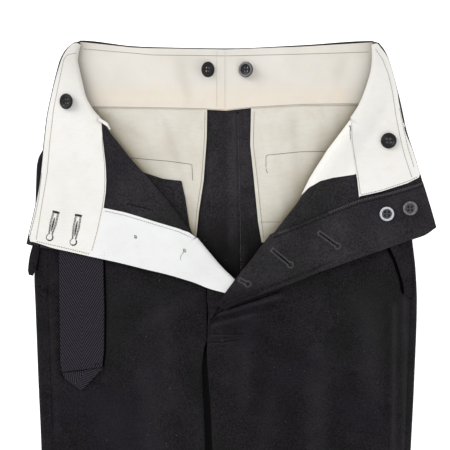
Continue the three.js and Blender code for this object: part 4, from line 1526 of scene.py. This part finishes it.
def add_grain(points, faces, start, end, up, width):
    """One grain of thread, pointed at its ends."""
    along = end - start
    side = along.cross(up).normalized()
    first = len(points)
    for share, full in ((0, 0.45), (0.5, 1), (1, 0.45)):
        centre = start + along * share + up * (0.12 * width)
        for across, high in RING:
            points.append(centre + (side * across + up * high) * (full * width / 2))
    for ring in (0, 4):
        for k in range(4):
            a, b = first + ring + k, first + ring + (k + 1) % 4
            faces.append((a, b, b + 4, a + 4))
    faces.append(tuple(first + k for k in (3, 2, 1, 0)))
    faces.append(tuple(first + 8 + k for k in range(4)))


def grains(name, strokes, hosts, width, material):
    """A piece made of short strokes of thread, each given by its two ends in plan."""
    points, faces = [], []
    for (x0, y0), (x1, y1) in strokes:
        a, b = drop(x0, y0, hosts), drop(x1, y1, hosts)
        if a is None or b is None or (a[0] - b[0]).length > 2.5 * math.hypot(x1 - x0, y1 - y0):
            continue
        add_grain(points, faces, a[0], b[0], (a[1] + b[1]).normalized(), width)
    return add_mesh(name, np.array([tuple(p) for p in points]), faces, material)


STITCH = 2.5  # mm from one machine stitch to the next


def running(line, pitch=STITCH, share=0.72, wander=0.12):
    """The strokes of a line of machine stitches."""
    line = np.array(line, float)
    count = max(int(lengths_along(line)[-1] / pitch), 1)
    places = spread(line, count + 1)
    shift = wander * np.sin(np.arange(count + 1) * 2.4 + line[0, 0])
    places = places + np.stack([shift, shift], -1)
    return [(tuple(a), tuple(mix(a, b, share))) for a, b in zip(places[:-1], places[1:])]


def many(*lines, **how):
    return [stroke for line in lines for stroke in running(line, **how)]


print("stitches every", STITCH, "mm")

# %% [markdown]
# ### Where the seams run
# Lines of fine brown thread hold the linings and close the pocket bags, and a dark box of
# stitches shows where each back pocket is set in.

# %% Stitches on the cotton
ON_BACK = ["right_back_lining_cloth", "left_back_lining_cloth", "right_pocket_bag_cloth",
           "left_pocket_bag_cloth", "right_pocket_facing_cloth", "right_back_panel",
           "left_back_panel"]  # fmt: skip
ON_RIGHT = ["right_waist_facing_cloth", "right_fly_facing_cloth", "right_front_panel"]
ON_LEFT = ["left_waist_facing_cloth", "left_fly_facing_cloth", "left_front_pocket_bag_cloth",
           "left_front_panel"]  # fmt: skip
back_stitches = grains("back_lining_stitches", many(
    [(-169.5, 524), (-129, 520.5), (-89, 517), (-6.5, 516)],
    [(-5.5, 516), (79, 518), (158, 520.5)],
    [(-158, 457.8), (-70.5, 456.3), (-31, 455.4), (-6.5, 454)],
    [(-5.5, 454), (22.5, 457.1), (79, 460.3), (145.5, 461.3)],
), ON_BACK, 0.75, BROWN_THREAD)  # fmt: skip
lap_stitches = grains("lining_lap_stitches", many(
    [(-7.6, 521), (-7.6, 456)],
    [(-17, 521), (-17, 457)],
), ON_BACK, 0.5, PALE_THREAD)  # fmt: skip
bag_stitches = grains("pocket_bag_stitches", many(
    [(-30.5, 451.5), (-31, 422), (-34.5, 373.5), (-40, 337), (-42, 313)],
    [(26, 452), (25.5, 436), (25, 414), (29.5, 376), (34.5, 325.5), (37, 307)],
    [(33, 325.5), (57, 325.5)],
    [(-154, 454), (-153.5, 445)],
), ON_BACK, 0.75, BROWN_THREAD)  # fmt: skip
box_stitches = grains("pocket_box_stitches", many(
    [(-115.5, 399), (-70.5, 395), (-45.5, 391.5), (-44.5, 373)],
    [(109.5, 406.5), (79, 406), (39.5, 402), (39.5, 388)],
    [(39.5, 386.5), (41.5, 381)],
    share=0.86,
), ON_BACK, 0.75, DARK_THREAD)  # fmt: skip
print("lining stitches", len(back_stitches.data.vertices) // POINTS_A_GRAIN)

# %% [markdown]
# ### Stitches on the facings
# Each facing is held by one line near its inner edge and one or two along the free edge,
# where the thread is darker from handling.

# %% Stitches on the facings
facing_stitches = grains("right_facing_stitches", many(
    [(-177.5, 518.5), (-187, 516.5), (-191.5, 511.5), (-196.5, 486), (-202.5, 456),
     (-207, 416.5), (-210, 381), (-217, 339), (-222.5, 305)],
    [(-146.5, 437), (-147, 415.5), (-145, 392), (-144.5, 373.5), (-145, 360), (-147.5, 341.5),
     (-153.5, 314), (-159.5, 292)],
    [(-144.5, 338), (-122, 333), (-80.5, 320.5), (-60.5, 314.5), (-45.5, 307.5)],
    [(-222, 303.4), (-200, 298.2), (-180, 293.4), (-161.5, 288.8)],
), ON_RIGHT, 0.75, BROWN_THREAD)  # fmt: skip
edge_stitches = grains("right_edge_stitches", many(
    [(-216.3, 381), (-219.8, 352), (-223.2, 335), (-227.6, 318), (-231, 305)],
), ON_RIGHT, 0.8, DARK_THREAD)  # fmt: skip
left_facing_stitches = grains("left_facing_stitches", many(
    [(164.5, 523), (172.5, 511), (179, 493.5), (183.5, 474), (187.5, 445), (192, 422),
     (197.5, 400), (205.5, 376)],
    [(191.6, 455), (196, 432), (201, 410), (208, 388)],
    [(136.5, 438), (137, 418.5), (140, 402), (145, 373.5), (147, 357)],
    [(148, 356.5), (170, 361.5), (200, 371.5), (212, 377)],
), ON_LEFT, 0.75, BROWN_THREAD)  # fmt: skip
print("facing stitches", len(facing_stitches.data.vertices) // POINTS_A_GRAIN)

# %% [markdown]
# ### Stitches on the wool
# Black thread on black wool only shows where it catches light. The raw edge of the left
# fly facing is overcast with a zigzag so that it does not fray.

# %% Overcast edge and fly end
def zigzag(line, pitch, reach):
    places = spread(line, int(lengths_along(np.array(line, float))[-1] / pitch))
    step = np.gradient(places, axis=0)
    across = np.stack([-step[:, 1], step[:, 0]], -1) / np.linalg.norm(step, axis=1)[:, None]
    ends = places + across * (reach * (1 - 2 * (np.arange(len(places)) % 2)))[:, None]
    return [(tuple(a), tuple(b)) for a, b in zip(ends[:-1], ends[1:])]


overcast = grains("left_fly_overcast", zigzag(
    [(46, 310), (79, 323), (112, 336.5), (145, 349.5), (178, 357.5), (211, 367), (220, 371)],
    1.6, 1.3,
), ON_LEFT, 0.65, GREY_THREAD)  # fmt: skip
fly_edge = grains("left_fly_edge_stitches", many(
    [(47, 307), (79, 319.8), (112, 333.2), (145, 346.2), (178, 354.2), (211, 363.7), (219, 367)],
    pitch=2.1,
), ON_LEFT, 0.9, HOLLOW)  # fmt: skip
pocket_stitches = grains("pocket_facing_stitches", many(
    [(-98.5, 378), (-78.5, 372.5), (-60.5, 369.5), (-56, 353), (-51, 320), (-49, 315)],
), ON_BACK, 0.6, BLACK_THREAD)  # fmt: skip
ON_FLY = ["left_front_panel", "right_front_panel", "left_fly_end"]
fly_stitches = grains("fly_end_stitches", many(
    [(-26, 197.3), (4, 197.2), (13, 197.5)],
    [(-26, 188), (-9.9, 188), (6.5, 190.5)],
    [(4, 203.4), (4, 193.4)],
    [(-119, 346.5), (-89, 338.5)],
    pitch=2.2, share=0.9,
), ON_FLY, 0.9, HOLLOW)  # fmt: skip
print("strokes of the overcast edge", len(overcast.data.vertices) // POINTS_A_GRAIN)

# %% [markdown]
# ### Deep seams
# Where one layer of black wool ends on another, hardly any light comes back out. A narrow
# strip of black on the lower layer draws that shade: along the fly, the seat seam, the belt,
# the tongue and the corner's lower edge. So are the belt's cut end and its frayed threads.

# %% Shade in the seams
fly_seam = grains("fly_seam_shadow", running(
    [(-28.7, 251), (-28.3, 236), (-27.6, 222), (-28, 205), (-28.4, 188)], 2.0, 1.1, 0,
), ON_FLY, 1.5, HOLLOW)  # fmt: skip
seat_line = [(float(seat_seam(y)), y) for y in range(452, 236, -8)]
seat_shadow = grains("seat_seam_shadow", running(seat_line, 2.0, 1.1, 0), ON_BACK, 1.7, HOLLOW)
corner_shadow = grains("left_corner_shadow", running(
    [(-25.2, 212.5), (-21, 217), (-16, 221), (-8.6, 224.6), (9.8, 230.2), (30, 236.8), (54, 245.4)],
    1.6, 1.15, 0,
), ["right_front_panel", "left_front_panel", "left_fly_end"], 1.3, HOLLOW)  # fmt: skip
tab_shadow = grains("right_pocket_shadow", running(
    [(-219, 300), (-220, 288), (-221.2, 279.5), (-222.8, 270.5)], 1.5, 1.2, 0,
), ["right_front_panel", "right_back_panel"], 2.2, HOLLOW)  # fmt: skip
belt_shadow = grains("belt_shadow", running(
    [(-145.6, 292), (-143.8, 225), (-144.6, 178), (-146.6, 160)], 3.0, 1.1, 0,
), ["right_front_panel"], 2.4, HOLLOW)  # fmt: skip
ON_BELT = ["belt_webbing", "belt_point", "right_front_panel"]
# the zigzag along the belt's cut end is painted shade under the edge together with its frayed threads;
# the small box is stitches
cut_end_shade_and_fray = grains(
    "belt_cut_end",
    zigzag([(-194.6, 154), (-171.9, 156), (-159.3, 158), (-148, 159.4)], 0.9, 0.7)
    + running([(-155.8, 163.2), (-150.4, 163.6), (-150.2, 159.6)], 1.4)
    + running([(-155.8, 163.2), (-155.6, 159)], 1.4)
    + [((-195.4, 153), (-197.2, 151.4)), ((-194, 152), (-195, 149.5))]
    + [((-192.5, 149), (-193.4, 146.8))],
    ON_BELT, 0.7, HOLLOW,
)  # fmt: skip
print("strokes at the belt's cut end", len(cut_end_shade_and_fray.data.vertices) // POINTS_A_GRAIN)

# %% [markdown]
# ### Buttonholes
# A keyhole buttonhole is a slit with a round eye at the end that the button pulls on. Close
# stitches stand across its whole rim, and a short bar tacks its other end.

# %% Buttonholes
HOLE_EYE = 2.3  # mm, radius of the eye to the inside of its stitches
SLIT = 1.0  # mm, from the middle of the slit to its stitches
BITE = 2.1  # mm, length of a buttonhole stitch


def buttonhole(bar, eye):
    """The strokes of a buttonhole, and those that draw its slit."""
    bar, eye = np.array(bar, float), np.array(eye, float)
    way = (eye - bar) / np.linalg.norm(eye - bar)
    side = np.array([-way[1], way[0]])
    half_angle = math.asin(SLIT / HOLE_EYE)
    neck = eye - way * HOLE_EYE * math.cos(half_angle)
    rim = []
    for sign in (1, -1):
        for share in np.linspace(0, 1, max(int(np.linalg.norm(neck - bar) / 0.75), 2)):
            rim.append((mix(bar, neck, share) + sign * side * SLIT, sign * side))
    for turn in np.linspace(half_angle, 2 * math.pi - half_angle, 26):
        out = -way * math.cos(turn) + side * math.sin(turn)
        rim.append((eye + out * HOLE_EYE, out))
    stitches = [(tuple(p), tuple(p + out * BITE)) for p, out in rim]
    for step in (-0.5, 0.3, 1.1):
        p = bar - way * step
        stitches.append((tuple(p - side * 2.8), tuple(p + side * 2.8)))
    return stitches, [(tuple(bar), tuple(eye + way * 0.5))]


print("a buttonhole has", len(buttonhole((0, 0), (0, 30))[0]), "stitches")

# %% [markdown]
# ### Buttonholes in the facing
# The two in the cream facing are older and looser: their lips are corded, gape in the middle
# and show the dark between them.

# %% Corded buttonholes
def ragged(share):
    return 0.75 + 0.25 * math.sin(60 * share)


def corded_hole(bar, eye):
    """A worn buttonhole: two corded lips that gape, a round eye and a thick bar."""
    bar, eye = np.array(bar, float), np.array(eye, float)
    way = (eye - bar) / np.linalg.norm(eye - bar)
    side = np.array([-way[1], way[0]])
    neck, strokes = eye - way * 3.3, []
    for sign in (1, -1):
        for wide in (3.2, 2.0):
            middle = mix(bar, neck, 0.5) + sign * side * (wide + 0.5)
            lip = [bar + sign * side * wide, middle, neck + sign * side * wide * 0.65]
            strokes += running(lip, 1.7, 0.85)
    for radius, first, last in ((3.9, 0.6, 5.7), (3.2, 0.8, 3.6)):
        ring = [
            tuple(eye + (side * math.sin(a) - way * math.cos(a)) * radius)
            for a in np.linspace(first, last, 16)
        ]
        strokes += list(zip(ring[:-1], ring[1:]))
    across = [(bar - way * step, 4.1) for step in (-0.8, -0.2, 0.4, 1.0)]
    gape = [
        (share, 0.5 + 1.1 * math.sin(math.pi * (share - 0.25) / 0.6) * ragged(share))
        for share in np.linspace(0.25, 0.85, 18)
    ]
    across += [(mix(bar, neck, share), half) for share, half in gape]
    return strokes + [(tuple(p - side * half), tuple(p + side * half)) for p, half in across]


def buttonholes(name, places, hosts):
    """All buttonholes of one edge: their stitched rims and their slits."""
    holes = [buttonhole(bar, eye) for bar, eye in places]
    rims, slits = ([s for hole in holes for s in hole[k]] for k in (0, 1))
    return (
        grains(name, rims, hosts, 0.55, GREY_THREAD),
        grains(name + "_slits", slits, hosts, 1.0, HOLLOW),
    )


right_holes = grains(
    "right_buttonholes",
    corded_hole((-200, 336.5), (-207.1, 307.9)) + corded_hole((-174.6, 332.8), (-180.3, 302.5)),
    ON_RIGHT, 1.0, DARK_THREAD,
)  # fmt: skip
left_holes = buttonholes(
    "left_buttonholes",
    [((99.5, 313.5), (121, 298)), ((46, 294), (67, 276.5)), ((8.5, 260), (18.5, 254.8))],
    ON_LEFT,
)  # fmt: skip
all_holes = (right_holes, left_holes[0])
print("buttonhole stitches", sum(len(h.data.vertices) // POINTS_A_GRAIN for h in all_holes))

# %% [markdown]
# ### Loose thread
# Where a button once sat on the white facing, cut ends of thread are left, and one more
# hangs beside the pocket on the left. Each is a short path of grains.

# %% Tufts of thread
def wisp(x, y, turns, reach, tail):
    """The strokes of a small tangle with a tail."""
    angle = np.linspace(0, turns * 2 * math.pi, int(turns * 9))
    loop = [(x + reach * math.cos(a * 1.3) * 0.8, y + reach * math.sin(a)) for a in angle]
    path = loop + [(x + dx, y + dy) for dx, dy in tail]
    return list(zip(path[:-1], path[1:]))


tufts = grains(
    "thread_tufts",
    wisp(-109.5, 308.5, 2.0, 1.8, [(2, -1.5)])
    + wisp(-53.5, 293, 2.0, 1.9, [(-1.5, -2.5), (-3.5, -5), (-4.8, -8), (-4.4, -11)])
    + wisp(134.5, 434, 1.5, 1.2, [(1.2, -3), (0.6, -5)])
    + running([(135, 434), (134.6, 427), (135.4, 419)], 1.4, 1.1, 0.5),
    ON_RIGHT + ON_LEFT, 0.6, DARK_THREAD,
)  # fmt: skip
print("tufts", len(tufts.data.vertices) // POINTS_A_GRAIN, "strokes")

# %% [markdown]
# ### An end that stands up
# At the fold the end of the right facing is not sewn down. It curls out over the fold as a
# narrow tongue, made as a small strip between two lines.

# %% The turned-up end of the right facing, at the fold
def tail():
    """A narrow curl of the facing that stands out over the fold."""
    outer = spread([(-151, 443.5), (-144, 439.4), (-141.5, 437.8), (-138.3, 430.5)], 16)
    inner = spread([(-152, 441), (-145.8, 436.8), (-141.2, 433.9), (-138.9, 430.2)], 16)
    top = drop(-149, 438, ON_RIGHT)[0].z + COTTON + 0.4
    shares = np.linspace(0, 1, 8)
    plan = mix(inner[:, None], outer[:, None], shares[None, :, None])
    height = top - 1.5 * shares**2 + 0 * plan[..., 0]
    grid = np.concatenate([plan, height[..., None]], -1)
    return cloth("right_facing_tail", [grid], COTTON, FACING_COTTON)


facing_tail = tail()
print("tail", [round(v * 1000, 1) for v in facing_tail.dimensions], "mm")

# %% [markdown]
# ## Buttons
# Pressed resin trouser buttons: a dished disc with a raised rim and four holes, sewn on
# with two strokes of thread. Each is a profile turned round its axis, as on a lathe, and
# drilled with four Boolean cuts. Rim and dish have finishes of their own, because wear
# pales the rim first.

# %% Turn and drill one button
THICK, RIM, DISH = 3.0, 2.9, 1.1  # mm: how thick, how wide its rim, how deep its dish
HOLE, HOLE_AT = 1.25, 2.8  # a hole's radius, and how far it is from the middle
DIAGONAL = 0.707  # the cosine of 45 degrees


def button_mesh(name, radius, rim, dish):
    profile = [(0, 0), (radius - 1.2, 0), (radius - 0.3, 0.4), (radius, 1.2), (radius, THICK - 1.1),
               (radius - 0.35, THICK - 0.3), (radius - 1.0, THICK), (radius - RIM + 0.7, THICK),
               (radius - RIM + 0.1, THICK - 0.25), (radius - RIM - 0.5, THICK - DISH + 0.15),
               (radius - RIM - 1.3, THICK - DISH), (0, THICK - DISH)]  # fmt: skip
    around = np.linspace(0, 2 * math.pi, 49)[:-1]
    grid = np.array([[(r * math.cos(a), r * math.sin(a), z) for a in around] for r, z in profile])
    grid = np.concatenate([grid, grid[:, :1]], 1)
    points, quads, _ = weld([grid])
    faces = [[v for i, v in enumerate(q) if v != q[i - 1]] for q in quads.tolist()]
    button = add_mesh(name, points, faces, (RESIN, rim, dish))
    for face in button.data.polygons:
        out, high = math.hypot(face.center.x, face.center.y) / MM, face.center.z / MM
        on_rim = out > radius - RIM and high > THICK - 0.5
        in_dish = out < radius - RIM and high > THICK - DISH - 0.1
        face.material_index = 1 * on_rim + 2 * in_dish
    for k in range(4):
        angle = (k + 0.5) * math.pi / 2
        where = (HOLE_AT * math.cos(angle) * MM, HOLE_AT * math.sin(angle) * MM, 0.001)
        bpy.ops.mesh.primitive_cylinder_add(vertices=14, radius=HOLE * MM, depth=0.012, location=where)
        drill = bpy.context.object
        cut = button.modifiers.new("hole", "BOOLEAN")
        cut.object, cut.operation, cut.solver = drill, "DIFFERENCE", "EXACT"
        bpy.context.view_layer.objects.active = button
        bpy.ops.object.modifier_apply(modifier=cut.name)
        bpy.data.objects.remove(drill)
    return button


print("a button is", THICK, "mm thick and dished by", DISH, "mm")

# %% [markdown]
# ### Sewing the buttons on
# A thread shank holds a button a little above the cloth and lets it lean. Each row gives a
# place, the way it leans and by how much; the cloth below gives the height.

# %% Sew the buttons on
BUTTONS = [  # name, radius, place, the way it leans, degrees, cloth under it, rim
    ("right_front_brace_button", 9, -186.5, 462.5, (1, 0.2), 24, ON_RIGHT, RESIN),
    ("left_front_brace_button", 9, 179, 418, (1, 0), 4, ON_LEFT, RESIN),
    ("right_back_brace_button", 9, -28, 500, (-1, 0.1), 38, ON_BACK, RESIN),
    ("left_back_brace_button", 9, 17, 500, (1, 0.1), 28, ON_BACK, DULL_RIM),
    ("fly_button_upper", 8.5, 177, 335, (1, 1), 6, ON_LEFT, PALE_RIM),
    ("fly_button_outer", 8.5, 203, 340.5, (1, -1), 20, ON_LEFT, DULL_RIM),
]


def sew_on(name, radius, x, y, lean, degrees, hosts, rim):
    button = button_mesh(name + "_resin", radius, rim, WORN_DISH if "fly" in name else RESIN)
    place, way = drop(x, y, hosts)
    seat = Vector((0, 0, 1)).rotation_difference(way).to_matrix().to_4x4()
    tilt = Matrix.Rotation(math.radians(degrees), 4, Vector((lean[1], -lean[0], 0)).normalized())
    rise = SEAM_GAP + (radius - 1) * math.sin(math.radians(degrees))
    centre = place + way * rise
    turn = seat @ tilt
    button.data.transform(Matrix.Translation(centre * MM) @ turn)
    points, faces = [], []
    top = THICK - DISH
    for k in range(2):
        a = Vector((HOLE_AT * DIAGONAL, HOLE_AT * DIAGONAL * (1 - 2 * k), top))
        b = Vector((-HOLE_AT * DIAGONAL, a.y, top))
        ends = [turn @ v + centre for v in (a, b)]
        add_grain(points, faces, *ends, (turn.to_3x3() @ Vector((0, 0, 1))).normalized(), 0.9)
    threads = add_mesh(name + "_thread", np.array([tuple(p) for p in points]), faces, GREY_THREAD)
    return button, threads


buttons = [(row[0], *sew_on(*row)) for row in BUTTONS]
print(len(buttons), "buttons of 17 to 18 mm")

# %% [markdown]
# ## The floor and the light
# A pale, matt surface and a broad soft light from above: black wool needs a large source
# close to it, or its folds do not show at all.

# %% Floor and light
def floor_sheet():
    material = new_material(
        "pale_floor", Roughness=0.9, Base_Color="#FBFBFB", Emission_Color="#FFFFFF",
        Emission_Strength=0.6,
    )[0]  # fmt: skip
    bpy.ops.mesh.primitive_plane_add(size=8, location=(0, 0, -0.0005))
    plane = bpy.context.object
    plane.name = "floor"
    plane.data.materials.append(material)
    return plane


def soft_light(name, where, size, power):
    data = bpy.data.lights.new(name, "AREA")
    data.shape, data.size, data.energy = "DISK", size, power
    lamp = bpy.data.objects.new(name, data)
    lamp.location = where
    aim = Vector((-0.01, 0.3, 0)) - Vector(where)
    lamp.rotation_euler = aim.to_track_quat("-Z", "Y").to_euler()
    bpy.context.collection.objects.link(lamp)


floor = floor_sheet()
soft_light("window", (-1.6, 1.4, 1.3), 1.4, 24)
soft_light("fill", (1.8, -0.6, 1.8), 2.0, 14)
world = bpy.data.worlds.new("studio")
world.use_nodes = True
world.node_tree.nodes["Background"].inputs["Color"].default_value = (1, 1, 1, 1)
world.node_tree.nodes["Background"].inputs["Strength"].default_value = 0.94
bpy.context.scene.world = world
bpy.context.scene.view_settings.view_transform = "Standard"
print("two soft lights in a white room")

# %% [markdown]
# ## Tell the frame what each piece is
# Each piece rides on the one body and stands for its solid parts, which are hidden. The table
# also lists each cloth's finish, the size it was cut to and what it lies on; nothing below reads them.

# %% The pieces and what is sewn on them
PIECES = [  # piece, solids it stands for, finish, flat size and area, what it lies on
    (right_front, ["right_front"], "wool_black", (0.25, 1.08), 0.19, ["right_back_panel"]),
    (left_front, ["left_front"], "wool_black", (0.27, 1.08), 0.21, ["left_back_panel"]),
    (right_back, ["right_back"], "wool_black", (0.27, 1.08), 0.22, ["floor"]),
    (left_back, ["left_back"], "wool_black", (0.27, 1.08), 0.22, ["floor"]),
    (right_facing, ["right_waist_facing"],
     "cotton_cream", (0.075, 0.26), 0.0163, ["right_front_panel"]),
    (left_facing, ["left_waist_facing"], "cotton_cream", (0.07, 0.18), 0.009, ["left_front_panel"]),
    (facing_tail, ["right_waist_facing"],
     "cotton_cream", (0.02, 0.01), 0.00006, ["right_waist_facing_cloth"]),
    (right_fly, ["right_fly_facing"], "cotton_white", (0.07, 0.16), 0.0081, ["right_front_panel"]),
    (left_fly, ["left_fly_facing"], "wool_black", (0.075, 0.3), 0.018, ["left_front_panel"]),
    (left_bag_corner, ["left_front_pocket_bag"],
     "cotton_cream", (0.08, 0.1), 0.004, ["left_front_panel"]),
    (right_lining, ["right_back_lining"], "cotton_cream", (0.17, 0.075), None, ["right_back_panel"]),
    (left_lining, ["left_back_lining"], "cotton_cream", (0.167, 0.072), None, ["left_back_panel"]),
    (right_bag, ["right_pocket_bag"], "cotton_cream", (0.14, 0.16), 0.0126, ["right_back_panel"]),
    (left_bag, ["left_pocket_bag"], "cotton_cream", (0.135, 0.155), 0.0125, ["left_back_panel"]),
    (pocket_facing, ["right_pocket_facing"],
     "wool_black", (0.06, 0.09), 0.0022, ["right_pocket_bag_cloth"]),
    (belt, ["belt"], "herringbone_tape", (0.05, 0.17), None, ["right_front_panel"]),
    (left_fly_end, ["left_front"], "wool_black", (0.024, 0.048), 0.00066, ["right_front_panel"]),
    (left_flap, ["left_pocket_flap"], "wool_black", (0.03, 0.052), 0.0009, ["left_front_panel"]),
    (right_flap, ["right_pocket_flap"], "wool_black", (0.011, 0.034), None, ["right_front_panel"]),
]
SEWN_ON = {
    left_front: [fly_stitches],
    left_fly_end: [fly_seam, corner_shadow],
    right_back: [seat_shadow],
    right_flap: [tab_shadow],
    belt: [cut_end_shade_and_fray, belt_shadow],
    right_facing: [facing_stitches, edge_stitches, right_holes],
    left_facing: [left_facing_stitches],
    left_fly: [overcast, fly_edge, *left_holes],
    right_lining: [back_stitches, lap_stitches],
    right_bag: [bag_stitches, box_stitches],
    pocket_facing: [pocket_stitches],
    left_flap: [slit],
    right_fly: [tufts],
}
print(len(PIECES), "sheets of cloth")

# %% [markdown]
# What is sewn on a cloth rides with it on the same body. The belt's point is folded under;
# every other sheet just lies where it is.

for piece, nodes, slot, flat, area, rests_on in PIECES:
    sewn = SEWN_ON.get(piece, [])
    for part in [piece, *sewn]:
        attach(part, "root")
        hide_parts(*nodes)
for node, button, threads in buttons:
    for part in (button, threads):
        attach(part, "root")
        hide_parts(node)
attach(belt_point, "root")
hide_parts("belt")
